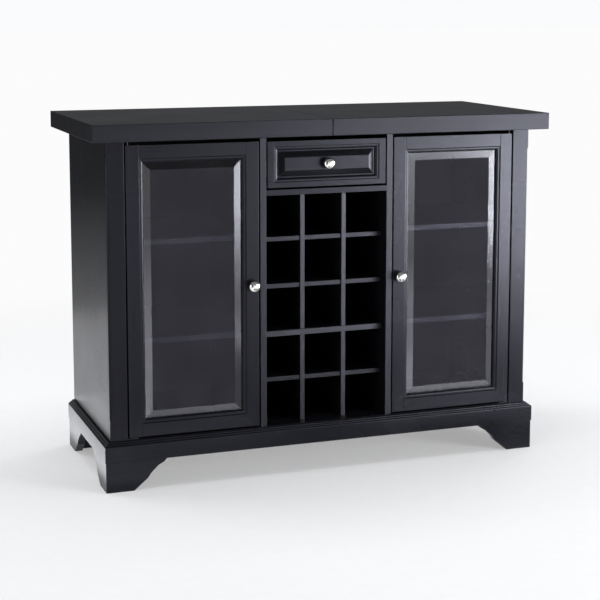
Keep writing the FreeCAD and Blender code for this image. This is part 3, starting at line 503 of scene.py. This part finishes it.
BOARD_EDGE = 0.8 * MM
FRAME_EDGE = 1.2 * MM
EASED = {
    "side_panel_left": "upright", "side_panel_right": "upright",
    "corner_stile_left": "post", "corner_stile_right": "post",
    "partition_left": "divider", "partition_right": "divider",
    "bottom_panel": "across", "sub_top": "inner", "drawer_rail": "across", "back_panel": "back",
    "rack_mid_shelf": "rack",
    "shelf_left_lower": "shelf", "shelf_left_upper": "shelf",
    "shelf_right_lower": "shelf", "shelf_right_upper": "shelf",
    "base_front_rail": "across", "base_left_rail": "deep", "base_right_rail": "deep",
    "base_back_rail": "inner",
    "foot_front_left": "across", "foot_front_right": "across",
    "foot_rear_left": "across", "foot_rear_right": "across",
    "drawer_front_panel": "across", "drawer_box_sides": "inner", "drawer_box_ends": "inner",
    "drawer_bottom": "inner",
    "door_left_beads": "upright", "door_right_beads": "upright",
}
FRAMED = {
    "door_left_hinge_stile": "upright", "door_right_hinge_stile": "upright",
    "door_left_knob_stile": "upright", "door_right_knob_stile": "upright",
    "door_left_rails": "across", "door_right_rails": "across",
    "drawer_front_frame": "across",
}
KEPT = {"zinc_steel": "zinc", "catch_plastic": "plastic"}
BLACKENED = ("pivot_plates", "door_left_fittings", "door_right_fittings")


def dress_nodes():
    """Give nodes that are shown as they are their finish, and ease the wooden ones."""
    for node, finish in EASED.items():
        eased(node, finish, BOARD_EDGE)
    for node, finish in FRAMED.items():
        eased(node, finish, FRAME_EDGE)
    for node, thing in frame["nodes"].items():
        if slot_of(node) in KEPT:
            finish = "blackened" if node in BLACKENED else KEPT[slot_of(node)]
            for slot in thing.material_slots:
                slot.material = FINISHES[finish]


# The two leaves of the top

LEAF_EDGE = 1.2 * MM
APRON = 20 * MM


def leaf_slab(side):
    """A leaf as the eye sees it: one slab, hollow below and open towards the seam."""
    board, aprons = f"leaf_{side}_board", f"leaf_{side}_aprons"
    low, high = box_of(board, aprons)
    under = box_of(board)[0].z
    outer, seam = (low.x, high.x) if side == "left" else (high.x, low.x)
    inner = outer + math.copysign(APRON, seam - outer)

    def build(work):
        def corner(x, y, z):
            return work.verts.new((x, y, z))

        front, back = low.y, high.y
        top = [corner(outer, front, high.z), corner(seam, front, high.z),
               corner(seam, back, high.z), corner(outer, back, high.z)]
        foot = [corner(v.co.x, v.co.y, low.z) for v in top]
        near, far = front + APRON, back - APRON
        ceiling = [corner(inner, near, under), corner(seam, near, under),
                   corner(seam, far, under), corner(inner, far, under)]
        rim = [corner(v.co.x, v.co.y, low.z) for v in ceiling]
        work.faces.new(top)
        work.faces.new(ceiling)
        work.faces.new([foot[0], foot[1], rim[1], rim[0], rim[3], rim[2], foot[2], foot[3]])
        work.faces.new([top[1], foot[1], rim[1], ceiling[1], ceiling[2], rim[2], foot[2], top[2]])
        for a, b in ((0, 1), (3, 0), (2, 3)):
            work.faces.new([top[a], top[b], foot[b], foot[a]])
            work.faces.new([ceiling[a], ceiling[b], rim[b], rim[a]])

    mesh = mesh_from(f"leaf_slab_{side}", build)
    ease(stand_for(mesh.name, mesh, "top", board, aprons), LEAF_EDGE)


# The panes

# A bevel leans back by more than the first of these degrees and less than the second.
GROUND_LEAN = (1, 20)


def pane(side):
    """A door's pane: polished over its field and ground along its four bevels."""
    node = f"door_{side}_glass"
    mesh = own_shape(f"pane_{side}", node)
    stand_for(mesh.name, mesh, "glass", node)
    mesh.materials.append(FINISHES["ground"])
    most, least = (math.cos(math.radians(lean)) for lean in GROUND_LEAN)
    for face in mesh.polygons:
        face.material_index = int(least < -face.normal.y < most)


# The knobs

# Outline of a knob from its seat outwards: shares of its radius and of its length.
KNOB_OUTLINE = [
    (0, 0), (0.56, 0), (0.58, 0.05), (0.5, 0.09), (0.38, 0.14), (0.355, 0.22), (0.36, 0.32),
    (0.42, 0.40), (0.56, 0.46), (0.76, 0.50), (0.92, 0.53), (0.99, 0.565), (1, 0.61),
    (0.985, 0.67), (0.93, 0.745), (0.82, 0.83), (0.66, 0.905), (0.46, 0.96), (0.24, 0.99), (0, 1),
]
KNOB_SIDES = 64
KNOB_CREASE = 50


def turned_knob(node):
    """A knob turned in one piece: a flange, a waist, a hollow flare and a dome."""
    low, high = box_of(node)
    middle = (low + high) / 2
    radius, length = (high.x - low.x) / 2, high.y - low.y

    def build(work):
        rings = []
        for out, along in KNOB_OUTLINE:
            y = high.y - along * length
            sides = KNOB_SIDES if out else 1
            turns = [2 * math.pi * side / KNOB_SIDES for side in range(sides)]
            rings.append([work.verts.new((middle.x + out * radius * math.cos(turn), y,
                                          middle.z + out * radius * math.sin(turn)))
                          for turn in turns])
        for near, far in zip(rings, rings[1:]):
            for side in range(KNOB_SIDES):
                after = (side + 1) % KNOB_SIDES
                corners = [near[side % len(near)], near[after % len(near)],
                           far[after % len(far)], far[side % len(far)]]
                work.faces.new(list(dict.fromkeys(corners)))

    mesh = mesh_from(node.replace("knob", "turned_knob"), build)
    crease(mesh, KNOB_CREASE)
    stand_for(mesh.name, mesh, "nickel", node)


# Geometry trees

def size_tree(name, sizes):
    """A geometry tree whose inputs are a geometry, named sizes and a material."""
    tree = bpy.data.node_groups.new(name, "GeometryNodeTree")
    tree.interface.new_socket("Geometry", in_out="INPUT", socket_type="NodeSocketGeometry")
    for label, number in sizes.items():
        kind = "NodeSocketInt" if isinstance(number, int) else "NodeSocketFloat"
        tree.interface.new_socket(label, in_out="INPUT", socket_type=kind)
    tree.interface.new_socket("Finish", in_out="INPUT", socket_type="NodeSocketMaterial")
    tree.interface.new_socket("Geometry", in_out="OUTPUT", socket_type="NodeSocketGeometry")
    return tree, tree.nodes.new("NodeGroupInput")


def wire(tree, kind, entries, **settings):
    """A node of a kind, with settings and with entries that are numbers or other outputs."""
    node = tree.nodes.new(kind)
    for label, content in settings.items():
        setattr(node, label, content)
    for label, content in entries.items():
        if isinstance(content, bpy.types.NodeSocket):
            tree.links.new(content, node.inputs[label])
        else:
            node.inputs[label].default_value = content
    return node


def finish_tree(tree, sizes_in, geometry):
    """End a tree: real geometry, in its finish."""
    real = wire(tree, "GeometryNodeRealizeInstances", {"Geometry": geometry})
    dressed = wire(tree, "GeometryNodeSetMaterial", {
        "Geometry": real.outputs[0], "Material": sizes_in.outputs["Finish"]})
    output = tree.nodes.new("NodeGroupOutput")
    tree.links.new(dressed.outputs[0], output.inputs[0])


def grown(name, tree, sizes, finish, source):
    """The plain mesh that a tree makes of a source mesh with given sizes."""
    piece = bpy.data.objects.new(name, source)
    bpy.context.collection.objects.link(piece)
    grower = piece.modifiers.new(name, "NODES")
    grower.node_group = tree
    for entry in tree.interface.items_tree:
        if entry.in_out == "INPUT" and entry.name in sizes:
            grower[entry.identifier] = sizes[entry.name]
        elif entry.name == "Finish":
            grower[entry.identifier] = FINISHES[finish]
    bpy.context.view_layer.update()
    evaluated = piece.evaluated_get(bpy.context.evaluated_depsgraph_get())
    mesh = bpy.data.meshes.new_from_object(evaluated)
    mesh.name = name
    bpy.data.objects.remove(piece)
    return mesh


# The bottle rack

RACK_BOARD = 12 * MM
RACK_JOINT = 0.15 * MM
RACK_COLUMNS = 3
# The rack tree's inputs, with a number of the kind that each one takes.
RACK_INPUTS = {"Width": 0.0, "Depth": 0.0, "Height": 0.0, "Columns": 1, "Column Step": 0.0,
               "Rows": 1, "Row Step": 0.0, "Middle Y": 0.0, "First Z": 0.0}


def vector(tree, x, y, z):
    """The output of a vector made of three numbers or outputs."""
    return wire(tree, "ShaderNodeCombineXYZ", {"X": x, "Y": y, "Z": z}).outputs[0]


def rack_tree():
    """Boards of one size in rows and columns round a middle axis, from a first height up."""
    tree, given = size_tree("rack_boards", RACK_INPUTS)
    size = given.outputs
    board = wire(tree, "GeometryNodeMeshCube", {
        "Size": vector(tree, size["Width"], size["Depth"], size["Height"])})
    columns = calculate(tree, "SUBTRACT", size["Columns"], 1)
    run = calculate(tree, "MULTIPLY", columns, size["Column Step"])
    first = calculate(tree, "MULTIPLY", run, -0.5)
    row = wire(tree, "GeometryNodeMeshLine", {
        "Count": size["Columns"], "Start Location": vector(tree, first, 0, 0),
        "Offset": vector(tree, size["Column Step"], 0, 0)})
    rise = wire(tree, "GeometryNodeMeshLine", {
        "Count": size["Rows"], "Start Location": vector(tree, 0, size["Middle Y"], size["First Z"]),
        "Offset": vector(tree, 0, 0, size["Row Step"])})
    boards = wire(tree, "GeometryNodeInstanceOnPoints", {
        "Points": row.outputs["Mesh"], "Instance": board.outputs["Mesh"]})
    rows = wire(tree, "GeometryNodeInstanceOnPoints", {
        "Points": rise.outputs["Mesh"], "Instance": boards.outputs["Instances"]})
    finish_tree(tree, given, rows.outputs["Instances"])
    return tree


def joined(name, meshes):
    """Several meshes as one."""
    work = bmesh.new()
    for mesh in meshes:
        work.from_mesh(mesh)
        bpy.data.meshes.remove(mesh)
    whole = bpy.data.meshes.new(name)
    work.to_mesh(whole)
    work.free()
    return whole


def bottle_rack():
    """Uprights from board to board, and the slats let in between them."""
    low, high = box_of("rack_uprights")
    slats_low, slats_high = box_of("rack_slats")
    shelf_low, shelf_high = (corner.z for corner in box_of("rack_mid_shelf"))
    cell = (slats_high.x - slats_low.x - (RACK_COLUMNS - 1) * RACK_BOARD) / RACK_COLUMNS
    bays = ((low.z, shelf_low, 1), (shelf_high, high.z, 2))
    tree = rack_tree()
    meshes = []
    for floor, ceiling, slats in bays:
        upright = {"Width": RACK_BOARD, "Depth": high.y - low.y, "Height": ceiling - floor,
                   "Columns": RACK_COLUMNS - 1, "Column Step": cell + RACK_BOARD,
                   "Rows": 1, "Row Step": 0.0,
                   "Middle Y": (low.y + high.y) / 2, "First Z": (floor + ceiling) / 2}
        cell_height = (ceiling - floor - slats * RACK_BOARD) / (slats + 1)
        slat = {"Width": cell - 2 * RACK_JOINT, "Depth": slats_high.y - slats_low.y,
                "Height": RACK_BOARD, "Columns": RACK_COLUMNS, "Column Step": cell + RACK_BOARD,
                "Rows": slats, "Row Step": cell_height + RACK_BOARD,
                "Middle Y": (slats_low.y + slats_high.y) / 2,
                "First Z": floor + cell_height + RACK_BOARD / 2}
        for name, sizes in (("upright", upright), ("slat", slat)):
            meshes.append(grown("rack_" + name, tree, sizes, "rack", bpy.data.meshes.new("seed")))
    mesh = joined("bottle_rack", meshes)
    ease(stand_for("bottle_rack", mesh, "rack", "rack_uprights", "rack_slats"), BOARD_EDGE)


# Screws and pins

HEAD_SIZES = {"Head Radius": 3.6 * MM, "Crown Share": 0.62, "Head Height": 1.5 * MM,
              "Recess Share": 1.1, "Recess Width": 0.9 * MM, "Recess Depth": 0.9 * MM, "Seed": 7}
HEAD_SIDES = 14
HEAD_CREASE = 30
# The size of each kind of screw as a share of the common one.
KNOB_SCREW = 1.25
PLATE_SCREW = 0.8
BEAD_PIN = 0.3


def screw_tree():
    """Cross-headed screws on points, each along its point's facing, at its point's size."""
    tree, given = size_tree("screw_heads", HEAD_SIZES)
    size = given.outputs
    crown = calculate(tree, "MULTIPLY", size["Head Radius"], size["Crown Share"])
    head = wire(tree, "GeometryNodeMeshCone", {
        "Vertices": HEAD_SIDES, "Radius Top": crown, "Radius Bottom": size["Head Radius"],
        "Depth": size["Head Height"]})
    length = calculate(tree, "MULTIPLY", size["Head Radius"], size["Recess Share"])
    deep = calculate(tree, "MULTIPLY", size["Recess Depth"], 2)
    width = size["Recess Width"]
    bars = [wire(tree, "GeometryNodeMeshCube", {"Size": vector(tree, *sides)}).outputs["Mesh"]
            for sides in ((length, width, deep), (width, length, deep))]
    cross = wire(tree, "GeometryNodeMeshBoolean", {}, operation="UNION", solver="EXACT")
    for bar in bars:
        tree.links.new(bar, cross.inputs["Mesh 2"])
    lift = wire(tree, "GeometryNodeTransform", {
        "Geometry": cross.outputs["Mesh"], "Translation": vector(tree, 0, 0, size["Head Height"])})
    cut = wire(tree, "GeometryNodeMeshBoolean", {
        "Mesh 1": head.outputs["Mesh"], "Mesh 2": lift.outputs["Geometry"]},
        operation="DIFFERENCE", solver="EXACT")
    facing = wire(tree, "GeometryNodeInputNamedAttribute", {"Name": "facing"},
                  data_type="FLOAT_VECTOR")
    share = wire(tree, "GeometryNodeInputNamedAttribute", {"Name": "share"}, data_type="FLOAT")
    turned = wire(tree, "FunctionNodeAlignRotationToVector", {
        "Vector": facing.outputs["Attribute"]}, axis="Z")
    chance = wire(tree, "FunctionNodeRandomValue", {"Seed": size["Seed"]}, data_type="FLOAT")
    chance.inputs["Max"].default_value = math.pi
    twist = wire(tree, "FunctionNodeAxisAngleToRotation", {
        "Axis": (0, 0, 1), "Angle": chance.outputs["Value"]})
    both = wire(tree, "FunctionNodeRotateRotation", {
        "Rotation": turned.outputs[0], "Rotate By": twist.outputs[0]}, rotation_space="LOCAL")
    heads = wire(tree, "GeometryNodeInstanceOnPoints", {
        "Points": size["Geometry"], "Instance": cut.outputs["Mesh"],
        "Rotation": both.outputs[0], "Scale": share.outputs["Attribute"]})
    finish_tree(tree, given, heads.outputs["Instances"])
    return tree


def spaced(start, end, step):
    """Places from start to end, evenly spaced by about a step."""
    count = max(round(abs(end - start) / step), 1)
    return [start + (end - start) * i / count for i in range(count + 1)]


BACK = Vector((0, 1, 0))
UP, DOWN = Vector((0, 0, 1)), Vector((0, 0, -1))
BACK_INSET = 9 * MM
BACK_STEP = 145 * MM


def back_screws():
    """Screws round the back panel and up its two partitions."""
    low, high = box_of("back_panel")
    inset = Vector((BACK_INSET, 0, BACK_INSET))
    first, last = low + inset, high - inset
    levels = spaced(first.z, last.z, BACK_STEP)
    places = [(x, z) for x in spaced(first.x, last.x, BACK_STEP) for z in (first.z, last.z)]
    columns = [first.x, last.x]
    for partition in ("partition_left", "partition_right"):
        corners = box_of(partition)
        columns.append((corners[0].x + corners[1].x) / 2)
    places += [(x, z) for x in columns for z in levels[1:-1]]
    return [(Vector((x, high.y, z)), BACK, 1) for x, z in places]


PLATE_INSETS = (11 * MM, 19 * MM)
PLATE_THICKNESS = 2 * MM


def plate_screws():
    """Two screws in each pivot plate, beside its pin."""
    low, high = box_of("pivot_plates")
    y = (low.y + high.y) / 2
    screws = []
    for side in (-1, 1):
        outer = side * max(-low.x, high.x)
        for inset in PLATE_INSETS:
            x = outer - side * inset
            screws.append((Vector((x, y, low.z + PLATE_THICKNESS)), UP, PLATE_SCREW))
            screws.append((Vector((x, y, high.z - PLATE_THICKNESS)), DOWN, PLATE_SCREW))
    return screws


def knob_screw(knob, y):
    """The screw behind a knob, with its head at a depth."""
    low, high = box_of(knob)
    middle = (low + high) / 2
    return Vector((middle.x, y, middle.z)), BACK, KNOB_SCREW


BEAD_STEP = 130 * MM
PIN_INSET = 3.5 * MM
# How far from the ends of an upright and of a level bead the first pins are.
UPRIGHT_START = 3 * PIN_INSET
LEVEL_START = 6 * PIN_INSET


def door_screws(side):
    """The knob's screw and the pins of the glazing beads."""
    low, high = box_of(f"door_{side}_beads")
    screws = [knob_screw(f"door_{side}_knob", high.y)]
    for x in (low.x + PIN_INSET, high.x - PIN_INSET):
        screws += [(Vector((x, high.y, z)), BACK, BEAD_PIN)
                   for z in spaced(low.z + UPRIGHT_START, high.z - UPRIGHT_START, BEAD_STEP)]
    for z in (low.z + PIN_INSET, high.z - PIN_INSET):
        screws += [(Vector((x, high.y, z)), BACK, BEAD_PIN)
                   for x in spaced(low.x + LEVEL_START, high.x - LEVEL_START, BEAD_STEP)]
    return screws


INNER_FRONT = 12 * MM
FRONT_INSET = 40 * MM
FRONT_FOOT, FRONT_HEAD = 30 * MM, 15 * MM


def drawer_screws():
    """Screws from inside the drawer into its front: one for the knob, four for the front."""
    low, high = box_of("drawer_box_ends")
    inside = low.y + INNER_FRONT
    screws = [knob_screw("drawer_knob", inside)]
    for x in (low.x + FRONT_INSET, high.x - FRONT_INSET):
        for z in (low.z + FRONT_FOOT, high.z - FRONT_HEAD):
            screws.append((Vector((x, inside, z)), BACK, 1))
    return screws


def screw_piece(name, tree, body, screws):
    """All the screws of one body as one plain mesh."""
    seed = bpy.data.meshes.new(name + "_places")
    seed.from_pydata([place for place, facing, share in screws], [], [])
    facings = seed.attributes.new("facing", "FLOAT_VECTOR", "POINT")
    for point, (place, facing, share) in zip(facings.data, screws):
        point.vector = facing
    shares = seed.attributes.new("share", "FLOAT", "POINT")
    for point, (place, facing, share) in zip(shares.data, screws):
        point.value = share
    mesh = grown(name, tree, HEAD_SIZES, "zinc", seed)
    crease(mesh, HEAD_CREASE)
    add_piece(name, mesh, "zinc", body, "zinc_steel")


def drive_screws():
    """Put in every screw and pin."""
    tree = screw_tree()
    screw_piece("case_screws", tree, "carcass", back_screws() + plate_screws())
    screw_piece("door_left_screws", tree, "door_left", door_screws("left"))
    screw_piece("door_right_screws", tree, "door_right", door_screws("right"))
    screw_piece("drawer_screws", tree, "drawer", drawer_screws())


# The studio

def aim(thing, place, target):
    """Stand a lamp or a camera somewhere and turn it towards a point."""
    thing.location = place
    thing.rotation_euler = (Vector(target) - Vector(place)).to_track_quat("-Z", "Y").to_euler()


# Each lamp: where it stands, what it faces, its width and height, and how bright its face is.
LAMPS = {
    "key": ((2.26, -2.62, 0.66), (0.45, -0.22, 0.66), (0.80, 1.28), 24.0),
    "fill_left": ((-3.2, -1.2, 1.7), (-0.4, 0, 0.4), (1.2, 1.4), 1.6),
    "back_left": ((-2.3, 1.5, 2.3), (-1.0, 0.3, 0), (1.4, 1.4), 4.0),
    "back_right": ((2.3, 1.5, 2.3), (1.0, 0.3, 0), (1.4, 1.4), 2.0),
    "overhead": ((0.2, 0.1, 3.6), (0.2, 0.1, 0), (3.4, 2.6), 3.2),
}
LAMP_COLOUR = (0.95, 0.965, 1.0)
# The dome: its brightness at the horizon and overhead, and between which heights it turns.
HORIZON = 0.97
CEILING = 0.2
DOME_TURN = (0.2, 0.45)
DOME_COLOUR = (0.985, 0.99, 1, 1)


def softbox(name, place, target, size, glow):
    """A soft lamp of a given size, aimed at a point, whose face shines as bright as glow."""
    lamp = bpy.data.lights.new(name, "AREA")
    lamp.shape = "RECTANGLE"
    lamp.size, lamp.size_y = size
    lamp.energy = glow * math.pi * size[0] * size[1]
    lamp.color = LAMP_COLOUR
    thing = bpy.data.objects.new(name, lamp)
    bpy.context.collection.objects.link(thing)
    aim(thing, place, target)
    thing.visible_glossy = False


def light_studio():
    """Soft lamps, which no glossy surface shows, and a dome that is pale low down."""
    for name, (place, target, size, glow) in LAMPS.items():
        softbox(name, place, target, size, glow)
    world = bpy.data.worlds.new("studio")
    bpy.context.scene.world = world
    world.use_nodes = True
    tree = world.node_tree
    tree.nodes.clear()
    output = tree.nodes.new("ShaderNodeOutputWorld")
    dome = tree.nodes.new("ShaderNodeBackground")
    way = tree.nodes.new("ShaderNodeTexCoord")
    parts = tree.nodes.new("ShaderNodeSeparateXYZ")
    tree.links.new(way.outputs["Generated"], parts.inputs[0])
    level = spread(tree, parts, HORIZON, CEILING, *DOME_TURN, "Z")
    tree.links.new(level.outputs["Result"], dome.inputs["Strength"])
    dome.inputs["Color"].default_value = DOME_COLOUR
    tree.links.new(dome.outputs[0], output.inputs["Surface"])


def stage_mesh(name, sheets, material):
    """Flat sheets of the studio, each a list of corners, as one piece of the stage."""
    def build(work):
        for corners in sheets:
            work.faces.new([work.verts.new(corner) for corner in corners])

    mesh = mesh_from(name, build)
    mesh.materials.append(material)
    thing = bpy.data.objects.new(name, mesh)
    bpy.context.collection.objects.link(thing)
    return thing


FLOOR, FLOOR_LIGHT = (0.93, 0.93, 0.93), (0.95, 0.95, 0.95)
FLOOR_DULLNESS = 0.9
FLOOR_GRIT = 30
# The share of the horizon's even tone in the floor near the cabinet, and from what distance to
# what distance it grows to the whole.
NEAR_FADE = 0.35
FADE_REACH = (0.9, 2.6)


def floor_finish():
    """Pale matt floor that turns into the even tone of the horizon some way off."""
    material, tree, shader = blank_material("pale_floor")
    grit = noise(tree, pattern(tree, (1, 1, 1)), FLOOR_GRIT)
    shade = tones(tree, grit, FLOOR, FLOOR_LIGHT)
    tree.links.new(shade.outputs["Color"], shader.inputs["Base Color"])
    shader.inputs["Roughness"].default_value = FLOOR_DULLNESS
    shader.inputs["Specular IOR Level"].default_value = 0.0
    far = tree.nodes.new("ShaderNodeEmission")
    far.inputs["Strength"].default_value = HORIZON
    place = pattern(tree, (1, 1, 0))
    reach = tree.nodes.new("ShaderNodeVectorMath")
    reach.operation = "LENGTH"
    tree.links.new(place.outputs["Vector"], reach.inputs[0])
    fade = spread(tree, reach, NEAR_FADE, 1, *FADE_REACH, "Value")
    fade.interpolation_type = "SMOOTHSTEP"
    show(tree, mixed(tree, fade.outputs["Result"], shader.outputs["BSDF"], far.outputs[0]))
    return material


def card_finish(name, axis, start, end, first, last):
    """The tone of a studio card, which runs from a first to a last value along an axis."""
    material, tree, shader = blank_material(name + "_card")
    shader.inputs["Base Color"].default_value = (0, 0, 0, 1)
    shader.inputs["Specular IOR Level"].default_value = 0.0
    shader.inputs["Emission Color"].default_value = (*LAMP_COLOUR, 1)
    tone = spread(tree, axes(tree), first, last, start, end, axis)
    tree.links.new(tone.outputs["Result"], shader.inputs["Emission Strength"])
    return material


def upright_card(x0, y0, x1, y1, low, high):
    """Corners of an upright card between two places on the floor."""
    return [(x0, y0, low), (x1, y1, low), (x1, y1, high), (x0, y0, high)]


CARD_LEVEL = 3 * MM


def flat_card(x0, x1, y0, y1):
    """Corners of a card that lies on the floor."""
    return [(x, y, CARD_LEVEL) for x, y in ((x0, y0), (x1, y0), (x1, y1), (x0, y1))]


# A strip of floor: its height, how many degrees it widens to each side, and where the fronts
# stand that it runs out from.
STRIP_LEVEL = 4 * MM
STRIP_SPREAD = 2.5
FRONTS = -0.22


def floor_strip(x, turn, near, far):
    """Corners of a card on the floor that runs out from under the fronts and widens slowly."""
    corners = []
    for reach, side in ((near, -1), (near, 1), (far, 1), (far, -1)):
        way = math.radians(turn + side * STRIP_SPREAD)
        place = (x + reach * math.sin(way), FRONTS - reach * math.cos(way))
        corners.append((*place, STRIP_LEVEL))
    return corners


# The cards that shape the reflections. Each has an axis along which its tone runs, where that
# starts and ends, the tones at both, and its sheets.
CARDS = {
    "key": ("Z", 0.25, 0.7, 80, 27, [upright_card(1.98, -2.86, 2.28, -2.66, 0.04, 1.3)]),
    "key_side": ("Z", -0.1, 0.42, 1.2, 10.3, [upright_card(2.32, -2.63, 2.70, -2.31, 0.0, 1.3)]),
    "key_top": ("X", 1.45, 1.95, 1, 8, [upright_card(1.42, -2.96, 2.02, -2.96, 0.86, 1.5)]),
    "between": ("Z", 0.1, 0.5, 4, 11, [upright_card(1.42, -2.88, 1.97, -2.88, 0.0, 0.86)]),
    "lower": ("Z", 0.05, 0.45, 1.0, 2.8, [upright_card(0.3, -3.0, 1.09, -3.0, 0.02, 0.7)]),
    "bevel_foot": ("X", -0.4, 0.6, 1.5, 2.8, [upright_card(-0.46, -0.45, -0.14, -0.45, 0.055, 0.1),
                                              upright_card(0.3, -0.45, 0.64, -0.45, 0.055, 0.1)]),
    "middle": ("Z", 0.0, 0.3, 1.5, 8.0, [upright_card(1.10, -2.86, 1.41, -2.86, 0.0, 1.2)]),
    "right": ("Z", 0.1, 0.6, 10, 20, [upright_card(2.3, -2.1, 2.5, -0.3, 0.05, 1.2)]),
    "left": ("Z", 0.2, 0.8, 4.5, 8, [upright_card(-2.45, -1.05, -2.40, -0.75, 0.2, 1.2)]),
    "grey": ("Z", 0, 1, 0.2, 0.2, [upright_card(-2.6, 2.3, -0.55, 2.7, 0.06, 3.2),
                                   upright_card(-0.55, 2.7, 4.6, 3.4, 0.95, 3.4)]),
    "dark": ("Z", 0, 1, 0.07, 0.07, [upright_card(0.05, -3.2, 0.95, -3.2, 0.70, 1.5),
                                     upright_card(-1.0, -2.9, -2.1, -1.6, 0.0, 2.0)]),
    "behind": ("Z", 0.05, 0.5, 0.4, 0.05, [upright_card(-2.5, 1.6, -0.62, 1.85, 0.03, 1.6)]),
    "left_strips": ("Y", -0.7, -4.2, 3.6, 1.0, [floor_strip(-0.49, 2.3, 0.3, 4),
                                                floor_strip(0.25, 12.7, 0.3, 4)]),
    "middle_strip": ("Y", -1.1, -2.4, 0.6, 1.6, [floor_strip(-0.25, 29, 0.3, 2.9)]),
    "right_strip": ("Z", 0, 1, 1.45, 1.45, [floor_strip(0.485, 39, 0.3, 2.9)]),
    "feet_shade": ("X", -0.5, 0.5, 1.5, 0.3, [flat_card(-0.62, 0.7, -0.45, -0.3)]),
    "base_shade": ("X", -0.5, 0.2, 0.8, 0.05, [flat_card(-0.62, 0.7, -0.75, -0.45)]),
    "door_shade": ("Y", -0.75, -1.4, 0.15, 0.9, [flat_card(-0.6, 0.95, -1.4, -0.75)]),
    "floor_rise": ("Y", -1.4, -2.6, 0.9, 1.7, [flat_card(-0.2, 0.94, -2.9, -1.4)]),
    "key_floor": ("Y", -1.3, -2.4, 0.8, 6.5, [flat_card(0.95, 2.0, -2.8, -1.4)]),
    "foot_glow": ("X", -0.63, -0.70, 3.4, 0.9, [flat_card(-0.72, -0.615, -0.3, 0.7)]),
    "side_glow": ("Y", -0.3, 1.6, 1.5, 1.0, [flat_card(-2.0, -0.72, -0.3, 1.6)]),
}


FLOOR_REACH = 60.0


def set_stage():
    """A wide pale floor, and cards all round that only a glossy surface shows."""
    floor = [(x * FLOOR_REACH, y * FLOOR_REACH, 0) for x, y in ((-1, -1), (1, -1), (1, 1), (-1, 1))]
    stage_mesh("floor", [floor], floor_finish())
    for name, (axis, start, end, first, last, sheets) in CARDS.items():
        card = stage_mesh(name + "_card", sheets, card_finish(name, axis, start, end, first, last))
        for ray in ("camera", "diffuse", "transmission", "shadow", "volume_scatter"):
            setattr(card, "visible_" + ray, False)


CAMERA_PLACE = Vector((-1.3738, -3.8099, 1.2004))
CAMERA_TURN = math.radians(19.923)
CAMERA_DIP = math.radians(7.743)
FOCAL_LENGTH = 91.2
SENSOR_WIDTH = 36
LENS_SHIFT = -0.15


def set_camera():
    """The photograph's view: from the left, a little above the top."""
    lens = bpy.data.cameras.new("camera")
    lens.sensor_width = SENSOR_WIDTH
    lens.lens = FOCAL_LENGTH
    lens.shift_y = LENS_SHIFT
    thing = bpy.data.objects.new("camera", lens)
    bpy.context.collection.objects.link(thing)
    level = math.cos(CAMERA_DIP)
    ahead = Vector((math.sin(CAMERA_TURN) * level, math.cos(CAMERA_TURN) * level,
                    -math.sin(CAMERA_DIP)))
    aim(thing, CAMERA_PLACE, CAMERA_PLACE + ahead)
    bpy.context.scene.camera = thing


dress_nodes()
for side in ("left", "right"):
    leaf_slab(side)
    pane(side)
for knob in ("door_left_knob", "door_right_knob", "drawer_knob"):
    turned_knob(knob)
bottle_rack()
drive_screws()
light_studio()
set_stage()
set_camera()
bpy.context.scene.view_settings.view_transform = "Standard"
